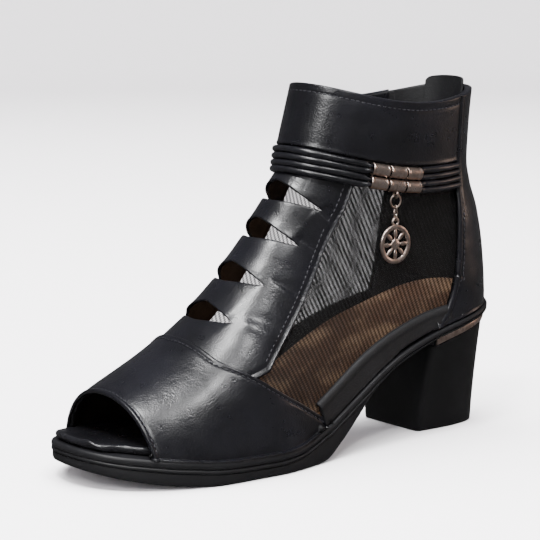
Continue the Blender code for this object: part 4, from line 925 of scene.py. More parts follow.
def make_band(number, cutouts, columns, limit):
    """Grid of points of one band of the panel, from its lower line to its upper line."""
    def lower(shares):
        if number == 0:
            return vamp_edge(shares) - 0.3
        curves, end = cutouts[number - 1]
        return np.interp(shares, *curves[1])

    def upper(shares):
        if number == len(cutouts):
            return np.full_like(shares, CORD_STATION + 0.7)
        curves, end = cutouts[number]
        return np.interp(shares, *curves[0])

    first, last = number > 0, number < len(cutouts)
    part = spaced(0.018, 0.0009, first=first, last=last)
    stations = np.full((len(part), len(columns)), 0.5 * (np.mean(lower(np.zeros(1))) + np.mean(upper(np.zeros(1)))))
    for _ in range(14):
        shares = columns[None] * limit(stations)
        low, high = lower(shares), upper(shares)
        stations = low + (high - low) * part[:, None]
    base = skin(stations, shares)
    from_low = run_along(base)
    from_high = from_low[-1] - from_low
    from_side = (1 - np.abs(columns))[None] * np.repeat(0.050, len(part))[:, None]
    offset = np.zeros(stations.shape)
    if first:
        open_low = openness(cutouts[number - 1], shares)
        offset += open_low * (LIP_LIFT * np.exp(-from_low / 0.0045) - rounded(from_low, 0.0008))
    if last:
        open_high = openness(cutouts[number], shares)
        offset += open_high * (-LIP_SINK * np.exp(-from_high / 0.0040) - rounded(from_high, 0.0008))
    for start, end, width, height in PANEL_FOLDS:
        for side in (-1, 1):
            mirrored = np.array([1.0, -side, 1.0])
            offset += fold_height(base, np.array(start) * mirrored, np.array(end) * mirrored, width, height)
    offset += 0.0004 * bell((from_side - 0.0008) / 0.0008) - rounded(from_side, 0.0008)
    offset -= 0.0002 * bell((from_side - 0.0031) / 0.0006)
    return skin(stations, shares, offset)


def openness(cutout, shares):
    """How far a cut-out is open at a share, from 0 beside it to 1 where its gap passes 1.5 mm."""
    curves, end = cutout
    low = np.interp(shares, *curves[0])
    high = np.interp(shares, *curves[1])
    return ease((high - low - 0.015) / 0.12)


# Folds from the cut-outs' ends, on the outer side and mirrored: start, end, width, height in mm.
PANEL_FOLDS = (
    ((-88, -20, 118), (-71, -27, 100), 3.2, 0.9),
    ((-97, -21, 102), (-84, -29, 92), 2.6, 0.7),
    ((-111, -22, 83), (-98, -31, 74), 2.8, 0.8),
    ((-126, -22, 67), (-112, -33, 56), 3.4, 0.45),
)


def make_wrap(side, name):
    """Band of leather between the window and the sole, from under the vamp to the back quarter."""
    curve = along_table(WRAP_EDGE, 90)
    stations, shares = on_side(curve[:, 0], curve[:, 1], side)
    foot = STATIONS < SEAM
    edge = LAST[foot, -1 if side > 0 else 0, 0]
    low_x = curve[:, 0] + 0.0035
    low = np.interp(low_x, edge, STATIONS[foot])
    part = spaced(0.008, 0.0008, last=False)
    grid_stations = stations[None] + (low - stations)[None] * part[:, None]
    grid_shares = shares[None] + (side - shares)[None] * part[:, None]
    base = skin(grid_stations, grid_shares)
    from_top = run_along(base)
    offset = 0.0003 * bell((from_top - 0.0009) / 0.0008) - rounded(from_top, 0.0008)
    points = skin(grid_stations, grid_shares, offset)
    points[-1, :, 2] = feather(points[-1, :, 0]) + GAP
    made = put_mesh(name, points, sheet_faces(*grid_stations.shape), turn=side < 0)
    thicken(made, UPPER_WALL, lining=True)
    dress(made, "leather", WRAP, LINING, replaces=("upper",))


def counter_front(height):
    """x of the back quarter's front edge at a height."""
    table = np.array(COUNTER_EDGE)
    return smooth(table[:, 0] * COLLAR_HEIGHT, table[:, 1] * SHOE_LENGTH, height)


def counter_share(station, side, clearance=0.0):
    """Share at which a station crosses the back quarter's front edge."""
    return share_where(station, side, lambda p: p[:, 0] + clearance - counter_front(p[:, 2]))


def zip_share(station, side, half_width=ZIP_HALF_WIDTH):
    """Share at which a station comes within the zip's half width of the back seam."""
    return share_where(station, side, lambda p: np.where(p[:, 0] > 0, half_width - np.abs(p[:, 1]), -1.0))


PIPING = 0.0016
FOOT_RISE = 0.0065
FOOT_BLEND = 0.0040


def heel_outline(side, turn):
    """Distance of the last's wall from the upright through the origin, at FOOT_RISE over the foot.

    A polynomial of the turn about that upright, fitted to the last's points near that height.
    """
    rise = LAST[..., 2] - feather(LAST[..., 0])
    near = LAST[(np.abs(rise - FOOT_RISE) < 0.0030) & (LAST[..., 0] > -0.034) & (LAST[..., 1] * side >= 0)]
    turns = np.arctan2(side * near[:, 1], near[:, 0])
    fit = np.polynomial.Polynomial.fit(turns, np.hypot(near[:, 0], near[:, 1]), 6)
    return fit(np.clip(turn, turns.min(), turns.max()))


def make_counter(side, name, node):
    """Back quarter: a rolled front edge, then a smooth wall to the folded edge beside the zip.

    The roll is a half sine as wide as twice the piping's radius.  The wall reaches in to the
    lining, so that one piece closes the back of the shoe.  Below FOOT_RISE no point leaves
    off the heel's outline.
    """
    low = SEAM - 1.25
    while counter_share(low, side) > 0.985:
        low += 0.01
    below = low + (SEAM - low) * np.sin(np.linspace(0, math.pi / 2, 30))
    stations = np.concatenate([below, np.linspace(SEAM, COLLAR_STATION, 90)[1:]])
    limits = [(counter_share(s, side), zip_share(s, side)) for s in stations]
    limits = smooth_rows(np.array(limits), 1.5)
    part = spaced(0.040, 0.0012)
    shares = (limits[:, :1] + (limits[:, 1:] - limits[:, :1]) * part[None]) * side
    grid_stations = np.repeat(stations[:, None], len(part), axis=1)
    base = skin(grid_stations, shares)
    from_front = run_along(base, axis=1)
    from_zip = from_front[:, -1:] - from_front
    offset = np.full(shares.shape, OVERLAY)
    offset += 0.0006 * np.sin(math.pi * np.clip(from_front / (2 * PIPING), 0, 1))
    offset -= 0.0004 * bell((from_front - 2 * PIPING - 0.0003) / 0.0006)
    offset += 0.0003 * bell((from_zip - 0.0012) / 0.0009) - 0.0002 * bell((from_zip - 0.0030) / 0.0006)
    offset -= rounded(from_front, 0.0010) + rounded(from_zip, 0.0008)
    for start, end, width, height in COUNTER_FOLDS:
        mirrored = np.array([1.0, -side, 1.0])
        offset += fold_height(base, np.array(start) * mirrored, np.array(end) * mirrored, width, height)
    points = skin(grid_stations, shares, offset)
    turn = np.arctan2(side * points[..., 1], points[..., 0])
    reach = np.hypot(points[..., 0], points[..., 1])
    rise = points[..., 2] - feather(points[..., 0])
    pull = ease((FOOT_RISE - rise) / FOOT_BLEND) * (heel_outline(side, turn) + offset - reach) / reach
    points[..., :2] *= (1 + pull)[..., None]
    foot = feather(points[..., 0]) + GAP
    points[..., 2] = np.maximum(points[..., 2], foot)
    faces = sheet_faces(*shares.shape)
    faces = faces[(rise.ravel() > GAP)[faces].any(axis=1)]
    used, faces = np.unique(faces, return_inverse=True)
    made = put_mesh(name, points.reshape(-1, 3)[used], [faces.reshape(-1, 4)], turn=side < 0)
    thicken(made, OVERLAY + UPPER_WALL, lining=True)
    dress(made, "leather", CALF, LINING, replaces=(node,))
    rows = []
    for edge, inset in ((0, 2 * PIPING + 0.0006), (-1, 0.0030)):
        way = from_front if edge == 0 else from_zip
        column = int(np.argmin(np.abs(way[len(stations) // 2] - inset)))
        first = int(np.argmax(rise[:, column] > 0.0030))
        rows.append(seam_row(stations[first:], shares[first:, column], OVERLAY))
    return rows


# Soft dents in the back quarters: start, end, width, height in mm.
COUNTER_FOLDS = (
    ((-4, -26, 96), (12, -22, 92), 5.0, -0.25),
    ((2, -24, 76), (20, -16, 80), 6.0, 0.3),
)


def smooth_rows(values, reach):
    """Running mean of rows weighted by a bell, with the ends held."""
    spread = int(4 * reach)
    weight = bell(np.arange(-spread, spread + 1) / (1.4 * reach))
    weight /= weight.sum()
    padded = np.vstack([values[:1] + (values[:1] - values[1:spread + 1][::-1]), values,
                        values[-1:] + (values[-1:] - values[-spread - 1:-1][::-1])])
    return np.stack([np.convolve(padded[:, k], weight, mode="valid") for k in range(values.shape[1])], axis=1)


def make_shaft():
    """Wall behind the cords and the cuff, all round the ankle, with its lining."""
    low = CORD_STATION - 0.62
    part = spaced(0.045, 0.0015, last=False)
    stations = low + (COLLAR_STATION - low) * part
    shares = np.linspace(-1, 1, 241)
    base_stations, base_shares = np.meshgrid(stations, shares, indexing="ij")
    base = skin(base_stations, base_shares)
    from_low = run_along(base)
    points = skin(base_stations, base_shares, -0.00005 - rounded(from_low, 0.0006))
    made = put_mesh("shaft", points, sheet_faces(*base_shares.shape), merge=1e-6)
    thicken(made, UPPER_WALL, lining=True)
    dress(made, "leather", CALF, LINING, replaces=("upper",))


CUFF_OFFSET = 0.0016


def station_at(share, way, start):
    """Station that lies a given way up the surface from a start station, at one share."""
    rate = np.linalg.norm(skin(start + 0.5, share) - skin(start, share), axis=-1) / 0.5
    return start + way / rate


def make_cuff():
    """Cuff: a smooth band above the cords whose top edge rolls over the collar.

    Its last rows follow a half circle from the outer face to the lining.
    """
    columns = np.linspace(0, 1, 261)
    part = spaced(0.029, 0.0010)
    low_limits = [-counter_share(CORD_STATION + 0.7, -1), counter_share(CORD_STATION + 0.7, 1)]
    high_limits = [-counter_share(COLLAR_STATION, -1), counter_share(COLLAR_STATION, 1)]
    left = low_limits[0] + (high_limits[0] - low_limits[0]) * part
    right = low_limits[1] + (high_limits[1] - low_limits[1]) * part
    shares = left[:, None] + (right - left)[:, None] * columns[None]
    low = station_at(shares, 2 * CORD_PITCH + 0.0002, CORD_STATION)
    stations = low + (COLLAR_STATION - low) * part[:, None]
    base = skin(stations, shares)
    from_low = run_along(base)
    from_top = from_low[-1] - from_low
    offset = CUFF_OFFSET + 0.0003 * bell((from_low - 0.0010) / 0.0009) - rounded(from_low, 0.0010)
    offset = offset - 0.0002 * bell((from_top - 0.0030) / 0.0007)
    for start, end, width, height in CUFF_FOLDS:
        offset += fold_height(base, start, end, width, height)
    points = skin(stations, shares, offset)
    roll_radius = 0.5 * (CUFF_OFFSET + UPPER_WALL)
    turns = np.linspace(0, math.pi, 11)[1:]
    roll = []
    top_up = skin(COLLAR_STATION + 0.2, shares[-1]) - skin(COLLAR_STATION - 0.2, shares[-1])
    top_up /= np.linalg.norm(top_up, axis=-1, keepdims=True)
    for turn in turns:
        reach = CUFF_OFFSET - roll_radius * (1 - math.cos(turn))
        roll.append(skin(COLLAR_STATION, shares[-1], reach) + top_up * roll_radius * 0.55 * math.sin(turn))
    inner_stations = COLLAR_STATION - np.array([0.15, 0.3, 0.45])
    for station in inner_stations:
        roll.append(skin(station, shares[-1], -UPPER_WALL - 0.00015))
    points = np.concatenate([points, np.array(roll)])
    made = put_mesh("ankle_cuff", points, sheet_faces(*points.shape[:2]))
    step = made.modifiers.new("wall", "SOLIDIFY")
    step.thickness = 0.0004
    step.offset = -1.0
    dress(made, "leather", CALF, replaces=("cuff",))
    column = int(np.argmin(np.abs(from_top[:, 130] - 0.0030)))
    rows = [seam_row(stations[column], shares[column], CUFF_OFFSET - 0.0001)]
    return rows


# Soft dents of the cuff: start, end, width, height in mm.
CUFF_FOLDS = (
    ((-70, -26, 156), (-48, -29, 150), 4.0, -0.35),
    ((-62, -27, 146), (-30, -29, 149), 5.0, 0.30),
    ((-40, -29, 160), (-12, -28, 155), 5.0, -0.25),
)


def make_window(side, name, node):
    """Mesh in one side window: a patch between its four edges, drawn in side view.

    The patch is the sum of the two ruled surfaces less the bilinear one of the corners.
    """
    count = 90
    front = along_table(PANEL_EDGE, count) - np.array([0.0045, 0.0])
    bottom = along_table(WRAP_EDGE, count) - np.array([0.0, 0.0035])
    front -= np.array([0.009, 0.004]) * np.square(np.linspace(1, 0, count))[:, None]
    lip = np.array([[-0.504, 0.269], [-0.452, 0.210], [-0.398, 0.156]]) * np.array([SHOE_LENGTH, COLLAR_HEIGHT])
    lip = lip - np.array([[0.0135, 0.0040], [0.0150, 0.0090], [0.0110, 0.0100]])
    heights = np.linspace(0.335, 0.765, count) * COLLAR_HEIGHT
    back = np.stack([counter_front(heights) + 0.003, heights], axis=1)
    u = np.linspace(0, 1, count)[:, None, None]
    v = np.linspace(0, 1, count)[None, :, None]
    low = np.vstack([smooth([0, 0.5, 1], lip, np.linspace(0, 1, 31))[:-1], bottom])
    run = run_along(low)
    low = np.stack([np.interp(np.linspace(0, run[-1], count), run, low[:, k]) for k in (0, 1)], axis=1)
    high = front[-1] + (back[-1] - front[-1]) * np.linspace(0, 1, count)[:, None]
    ruled = (1 - u) * low[None] + u * high[None]
    other = (1 - v) * front[:, None] + v * back[:, None]
    corners = ((1 - u) * (1 - v) * low[0] + (1 - u) * v * low[-1] + u * (1 - v) * high[0] + u * v * high[-1])
    place = ruled + other - corners
    stations, shares = on_side(place[..., 0], place[..., 1], side)
    base = skin(stations, shares)
    offset = np.full(stations.shape, -0.0009)
    for start, end, width, height in NET_FOLDS:
        mirrored = np.array([1.0, -side, 1.0])
        offset += fold_height(base, np.array(start) * mirrored, np.array(end) * mirrored, width, height)
    points = skin(stations, shares, offset)
    made = put_mesh(name, points, sheet_faces(count, count), uv=place, turn=side > 0)
    dress(made, "mesh", NET, replaces=(node,))


# Slack of the mesh: start, end, width, height in mm.
NET_FOLDS = (
    ((-80, -30, 84), (-60, -28, 104), 4.0, -0.5),
    ((-70, -31, 74), (-40, -28, 96), 5.0, 0.35),
    ((-95, -33, 60), (-50, -30, 72), 5.0, -0.35),
)


# Ankle cords and beads

def cord_frame(share):
    """Directions along the ankle cords, up across them and out of the surface, at shares."""
    step = 4e-3
    along = skin(CORD_STATION, share + step) - skin(CORD_STATION, share - step)
    along /= np.linalg.norm(along, axis=-1, keepdims=True)
    out = skin(CORD_STATION, share, 1.0) - skin(CORD_STATION, share)
    out -= along * np.sum(out * along, axis=-1, keepdims=True)
    out /= np.linalg.norm(out, axis=-1, keepdims=True)
    return along, np.cross(along, out), out


def bead_frame(column, row):
    """Middle, direction along the cords, up and out of one bead."""
    share = -share_where(CORD_STATION, -1, lambda p: p[:, 0] - (BEAD_MIDDLE * SHOE_LENGTH))
    step = 1e-3
    run = skin(CORD_STATION, share + step) - skin(CORD_STATION, share - step)
    rate = np.linalg.norm(run) / (2 * step)
    share = share - (column - 1) * BEAD_PITCH / rate
    along, up, out = cord_frame(share)
    stand = BEAD_DEPTH / 2 + CORD_STANDOFF
    middle = skin(CORD_STATION, share) + out * stand + up * (0.5 - row) * 2 * CORD_PITCH
    return middle, along, up, out


def make_cord(number):
    """One rolled ankle cord, thinner where it runs through its beads, with small random swells."""
    level = 1.5 - number
    ends = [-counter_share(CORD_STATION, -1, -0.0004), counter_share(CORD_STATION, 1, -0.0004)]
    first = bead_frame(0, 0)[0][0] - BEAD_PITCH / 2
    last = bead_frame(2, 0)[0][0] + BEAD_PITCH / 2
    shares = np.linspace(ends[0], ends[1], 420)
    path = skin(CORD_STATION, shares)
    edge = 0.0028
    squeeze = np.where(shares < 0, ease((path[:, 0] - first + edge) / edge)
                       * ease((last + edge - path[:, 0]) / edge), 0.0)
    along, up, out = cord_frame(shares)
    radius = CORD_DIAMETER / 2
    row_middle = 1.0 if level > 0 else -1.0
    in_bead = row_middle + 0.36 * (1.0 if level - row_middle > 0 else -1.0)
    height = ((1 - squeeze) * level + squeeze * in_bead) * CORD_PITCH
    stand = (1 - squeeze) * (radius + CORD_STANDOFF) + squeeze * (BEAD_DEPTH / 2 + CORD_STANDOFF)
    draw = np.random.default_rng(number + 4)
    run = run_along(path)
    swell = sum(a * np.sin(run / length + phase) for a, length, phase in
                zip((0.05, 0.035, 0.03), (0.0061, 0.0037, 0.0113), draw.uniform(0, 6.28, 3)))
    tall = ((1 - squeeze) * radius * 1.06 + squeeze * radius * 0.60) * (1 + swell)
    deep = ((1 - squeeze) * radius * 1.0 + squeeze * radius * 0.76) * (1 + 0.6 * swell)
    height = height + (1 - squeeze) * CORD_DIAMETER * 0.06 * np.sin(run / 0.013 + draw.uniform(0, 6.28))
    centres = skin(CORD_STATION, shares) + out * stand[:, None] + up * height[:, None]
    made = tube(f"rolled_cord_{number + 1}", centres, up * tall[:, None], out * deep[:, None], sides=14)
    dress(made, "leather", EDGE_CALF, replaces=(f"ankle_cord_{number + 1}",))


BEAD_HEIGHT = 2 * CORD_PITCH - GAP
CHARM_DIAMETER = 0.0183
CHARM_WALL = 0.0015
RING_DIAMETER = 0.0070
RING_WIRE = 0.0009
LINK_WIRE = 0.0006
LINK_LENGTH = 0.0036
LINK_WIDTH = 0.0026
LOOP_WIRE = 0.0011
LOOP_SIZE = 0.0041
LUG_WIRE = 0.0012
LUG_SIZE = 0.0046


def wrapped_faces(rows, columns):
    """Quads of a grid whose last row joins its first, and its last column its first."""
    index = np.arange(rows * columns).reshape(rows, columns)
    index = np.hstack([index, index[:, :1]])
    index = np.vstack([index, index[:1]])
    return np.stack([index[:-1, :-1], index[1:, :-1], index[1:, 1:], index[:-1, 1:]], axis=-1).reshape(-1, 4)


def oval_ring(middle, first, second, long, wide, wire, count=40, sides=12):
    """Closed oval of round wire, a little thinner than nominal: a circle carried along an ellipse."""
    radius = wire * 0.44
    turn = np.arange(count) * 2 * math.pi / count
    angle = np.arange(sides) * 2 * math.pi / sides
    centres = (middle + np.cos(turn)[:, None] * first * (long - wire) / 2
               + np.sin(turn)[:, None] * second * (wide - wire) / 2)
    outward = np.cos(turn)[:, None] * first + np.sin(turn)[:, None] * second
    flat = np.cross(first, second)
    points = (centres[:, None] + outward[:, None] * np.cos(angle)[None, :, None] * radius
              + flat * np.sin(angle)[None, :, None] * radius)
    return points.reshape(-1, 3), wrapped_faces(count, sides)


def bead_shape(column, row):
    """Oval tube with a raised rim at both ends and a rounded mouth, carried along the cords."""
    middle, along, up, out = bead_frame(column, row)
    half = BEAD_LENGTH / 2
    way = np.array([-half + 0.0012, -half + 0.0002, -half, -half + 0.00015, -half + 0.0005, -half + 0.0009,
                    -half + 0.0012, -half + 0.0018, -0.0012])
    less = np.array([0.00075, 0.00065, 0.0004, 0.0001, 0.0, 0.00008, 0.00022, 0.00018, 0.00012])
    way = np.concatenate([way, -way[::-1]])
    less = np.concatenate([less, less[::-1]])
    angle = np.arange(36) * 2 * math.pi / 36
    rings = (middle + along * way[:, None, None]
             + up * (np.cos(angle)[None] * (BEAD_HEIGHT / 2 - less[:, None]))[..., None]
             + out * (np.sin(angle)[None] * (BEAD_DEPTH / 2 - less[:, None]))[..., None])
    return rings.reshape(-1, 3), wrapped_faces(len(way), 36)


def petal_shape(middle, along, side, length, width, height):
    """Leaf with pointed ends: a half sine wide and high along its length."""
    run = np.linspace(0.01, 0.99, 11)
    angle = np.arange(12) * 2 * math.pi / 12
    wide = np.sin(math.pi * run) ** 0.8 * width / 2
    tall = (0.35 + 0.65 * np.sin(math.pi * run)) * height / 2
    points = (middle + along * ((run - 0.5) * length)[:, None, None]
              + side * (np.cos(angle)[None] * wide[:, None])[..., None]
              + Y_AXIS * (np.sin(angle)[None] * tall[:, None])[..., None])
    return points.reshape(-1, 3), sheet_faces(11, 12, wrap=True)


def make_beads_and_charm():
    """Six beads on the cords, and the ring, chain and openwork disc under the middle one."""
    middle = bead_frame(1, 1)[0]
    loop_middle = middle - Z_AXIS * (BEAD_HEIGHT / 2 + LOOP_SIZE / 2 - LOOP_WIRE * 0.8)
    shapes = [bead_shape(column, row) for row in range(2) for column in range(3)]
    shapes.append(oval_ring(loop_middle, Z_AXIS, Y_AXIS, LOOP_SIZE, LOOP_SIZE, LOOP_WIRE))
    beads = joined("cord_beads", shapes)
    dress(beads, "bronze", BRONZE, replaces=tuple(f"bead_{number + 1}" for number in range(6)))
    ring_middle = loop_middle - Z_AXIS * (RING_DIAMETER - RING_WIRE) / 2
    ring = joined("jump_ring", [oval_ring(ring_middle, Z_AXIS, X_AXIS, RING_DIAMETER, RING_DIAMETER, RING_WIRE)])
    dress(ring, "bronze", BRONZE, body="charm_ring", replaces=("charm_ring",))
    low = ring_middle[2] - (RING_DIAMETER - RING_WIRE) / 2
    top = low + RING_WIRE / 2 + LINK_WIRE / 2 + GAP
    pitch = LINK_LENGTH - LINK_WIRE
    shapes = []
    for number in range(3):
        centre = np.array([ring_middle[0], ring_middle[1], top - pitch / 2])
        wide = Y_AXIS if number % 2 == 0 else X_AXIS
        shapes.append(oval_ring(centre, Z_AXIS, wide, LINK_LENGTH, LINK_WIDTH, LINK_WIRE, count=28, sides=10))
        low = top - pitch
        top = low + LINK_WIRE + GAP
    lug_top = low + LINK_WIRE / 2 + GAP + LUG_WIRE / 2
    lug_middle = np.array([ring_middle[0], ring_middle[1], lug_top - (LUG_SIZE - LUG_WIRE) / 2])
    shapes.append(oval_ring(lug_middle, Z_AXIS, X_AXIS, LUG_SIZE, LUG_SIZE, LUG_WIRE))
    disc = lug_middle - Z_AXIS * (LUG_SIZE / 2 + CHARM_DIAMETER / 2 - LUG_WIRE * 0.8)
    radius = CHARM_DIAMETER / 2
    turn = np.arange(96) * 2 * math.pi / 96
    spoke = np.cos(turn)[:, None] * X_AXIS + np.sin(turn)[:, None] * Z_AXIS
    rim = np.array([(0.0022, 0.45), (0.0019, 0.45), (0.0017, 0.80), (0.0013, 1.0), (0.0008, 1.0), (0.0002, 0.75),
                    (0.0, 0.3)])
    rim = np.vstack([rim, rim[::-1] * np.array([1.0, -1.0])])
    points = disc + spoke[:, None] * (radius - rim[None, :, :1]) + Y_AXIS * (rim[None, :, 1:] * CHARM_WALL / 2)
    shapes.append((points.reshape(-1, 3), wrapped_faces(len(turn), len(rim))))
    for number in range(8):
        angle = number * math.pi / 4
        along = X_AXIS * math.cos(angle) + Z_AXIS * math.sin(angle)
        side = Z_AXIS * math.cos(angle) - X_AXIS * math.sin(angle)
        shapes.append(petal_shape(disc + along * radius * 0.53, along, side, radius * 0.62, 0.0021, 0.0013))
    shapes.append(petal_shape(disc, X_AXIS, Z_AXIS, radius * 0.62, radius * 0.62, 0.0017))
    drop = joined("chain_and_medallion", shapes)
    dress(drop, "bronze", BRONZE, body="charm_drop",
          replaces=("charm_link_1", "charm_link_2", "charm_link_3", "charm_medallion"))


# Sole and heel

def outline_half(side, offset, count):
    """Feather line in plan on one side, toe tip to back seam, moved out by offset."""
    foot = STATIONS <= SEAM + 1e-9
    both = np.vstack([LAST[foot, -1 if side > 0 else 0, :2], LAST[foot, 0 if side > 0 else -1, :2][::-1]])
    tangent = np.gradient(both, axis=0)
    n = int(foot.sum())
    tangent[0] = np.array([0.0, side * 1.0])
    tangent[n - 1] = np.array([0.0, -side * 1.0])
    tangent[n] = tangent[n - 1]
    tangent /= np.maximum(np.linalg.norm(tangent, axis=1, keepdims=True), 1e-12)
    normal = np.stack([-tangent[:, 1], tangent[:, 0]], axis=1) * side
    half, normal = both[:n], normal[:n]
    run = run_along(half)
    part = 0.35 * (0.5 - 0.5 * np.cos(np.linspace(0, math.pi, count))) + 0.65 * np.linspace(0, 1, count)
    even = part * run[-1]
    point = np.stack([np.interp(even, run, half[:, k]) for k in (0, 1)], axis=1)
    way = np.stack([np.interp(even, run, normal[:, k]) for k in (0, 1)], axis=1)
    way /= np.linalg.norm(way, axis=1, keepdims=True)
    offset = np.broadcast_to(np.asarray(offset(point[:, 0]) if callable(offset) else offset), (count,))
    return point + way * offset[:, None]


OUTLINE_COUNT = 150


def outline_loop(offset):
    """Both halves of the feather line as one loop in plan, moved out by offset."""
    outer = outline_half(-1, offset, OUTLINE_COUNT)
    inner = outline_half(1, offset, OUTLINE_COUNT)
    tip = 0.5 * (outer[0] + inner[0])
    heel = 0.5 * (outer[-1] + inner[-1])
    return np.vstack([tip, outer[1:-1], heel, inner[1:-1][::-1]])


def outline_ring(offset, height, at_feather=False):
    """Loop of points in space; height gives z from x, or from the feather line's own x."""
    loop = outline_loop(offset)
    return np.column_stack([loop, height(outline_loop(0.0)[:, 0] if at_feather else loop[:, 0])])


def lofted(name, rings):
    """Closed body from loops stacked bottom to top, its caps filled by strips across the foot."""
    count = len(rings[0])
    half = count // 2
    groups = [sheet_faces(len(rings), count, wrap=True)]
    for base, flip in ((0, True), ((len(rings) - 1) * count, False)):
        left = base + np.arange(1, half)
        right = base + count - np.arange(1, half)
        quads = np.stack([left[:-1], left[1:], right[1:], right[:-1]], axis=1)
        ends = np.array([[base, left[0], right[0]], [left[-1], base + half, right[-1]]])
        groups.append(quads[:, ::-1] if flip else quads)
        groups.append(ends[:, ::-1] if flip else ends)
    return put_mesh(name, np.vstack(rings), groups, closed=True)


def make_outsole():
    """Platform sole: flat tread, side wall with a band between two grooves, rolled lip on top."""
    def level(rest_share, band_share, lip_share, lift=0.0):
        def height(x):
            bottom, top = sole_bottom(x), feather(x) - GAP
            lip = np.minimum(LIP_HEIGHT, (top - bottom) * 0.82)
            rest = top - bottom - lip
            band = np.minimum(BAND_HEIGHT, rest * 0.35)
            return bottom + lift * np.minimum(1.0, rest / 0.004) + rest_share * rest + band_share * band + lip_share * lip
        return height

    def side(depth):
        def offset(x):
            rest = feather(x) - sole_bottom(x) - LIP_HEIGHT
            return RIM - depth * np.clip(rest / 0.004, 0.0, 1.0)
        return offset

    rings = []
    for depth, lift in ((0.0200, 0.0), (0.0030, 0.0), (0.0016, 0.00005), (0.0010, 0.0003), (0.0007, 0.0007)):
        rings.append(outline_ring(side(depth), level(0.0, 0.0, 0.0, lift)))
    for share in (0.35, 0.65, 0.90):
        rings.append(outline_ring(side(0.0004), level(share, -share, 0.0)))
    for depth, band in ((0.0005, -1.06), (0.0003 + GROOVE_DEPTH, -1.0), (0.0003 + GROOVE_DEPTH, -0.93),
                        (0.0002, -0.86), (0.0, -0.72), (-0.0001, -0.5), (0.0, -0.25), (0.0003, -0.12),
                        (GROOVE_DEPTH, -0.04), (GROOVE_DEPTH, 0.04)):
        rings.append(outline_ring(side(depth), level(1.0, band, 0.0)))
    for turn in np.linspace(-0.42, 0.5, 12) * math.pi:
        reach = RIM - 0.0012 + 0.0013 * math.cos(turn)
        share = 0.5 + 0.5 * math.sin(turn)
        rings.append(outline_ring(reach, level(1.0, 0.0, share), at_feather=True))
    rings.append(outline_ring(-0.0020, level(1.0, 0.0, 1.0), at_feather=True))
    made = lofted("sole_unit", rings)
    made.data.set_sharp_from_angle(angle=math.radians(60))
    dress(made, "sole", SOLE, replaces=("outsole",))


TOE_X = [float(skin(TOE_OPENING[k][1], TOE_OPENING[k][0])[0]) for k in (-1, 0)]
WRAP_END = -0.148


def make_footbed():
    """Padded footbed: brown sock over most of it, a leather wrap with small wrinkles at the toe."""
    open_to = (TOE_X[0] - 0.004, TOE_X[0] - 0.011)

    def inside(proud, drawn):
        def offset(x):
            part = ease((x - open_to[1]) / (open_to[0] - open_to[1]))
            return proud * (1 - part) - (UPPER_WALL + 0.0010 + drawn) * part
        return offset

    def level(share):
        def height(x):
            part = ease((x + 0.78 * SHOE_LENGTH) / (0.45 * SHOE_LENGTH))
            return feather(x) + share * (INSOLE_TOE + (INSOLE_HEEL - INSOLE_TOE) * part)
        return height

    rings = []
    for turn in np.linspace(-0.5, 0.5, 13) * math.pi:
        reach = math.cos(turn)
        rings.append(outline_ring(inside(-0.0010 + 0.0021 * reach, 0.0018 - 0.0014 * reach), level(0.5 + 0.5 * math.sin(turn))))
    for drawn in (0.0010, 0.003, 0.006, 0.010, 0.015):
        rings.append(outline_ring(inside(-0.0010 - drawn, 0.0018 + drawn), level(1.0)))
    rings = np.array(rings)
    wrinkle = np.zeros(rings.shape[:2])
    run = run_along(np.vstack([rings[6], rings[6][:1]]))[:-1]
    toe = ease((WRAP_END - 0.006 - rings[..., 0]) / 0.012)
    draw = np.random.default_rng(12)
    for length, size in ((0.0031, 0.20), (0.0047, 0.26), (0.0068, 0.28)):
        tilt = draw.uniform(0, 6.28)
        wrinkle += size * MM * np.sin(run[None] / length * 2.2 + tilt + np.arange(len(rings))[:, None] * 0.22)
    inward = ease((np.arange(len(rings)) - 1) / 4)[:, None] * ease((15 - np.arange(len(rings))) / 5)[:, None]
    rings[..., 2] += np.maximum(wrinkle, -0.0002) * toe * inward
    made = lofted("footbed", list(rings))
    made.data.materials.append(SOCK)
    made.data.materials.append(WRAP)
    centres = np.empty(len(made.data.polygons) * 3)
    made.data.polygons.foreach_get("center", centres)
    black = (centres.reshape(-1, 3)[:, 0] < WRAP_END).astype(np.int32)
    made.data.polygons.foreach_set("material_index", black)
    dress(made, "sock", replaces=("insole",))


BREAST_X = -0.0765 * SHOE_LENGTH
HEEL_COUNT = 60


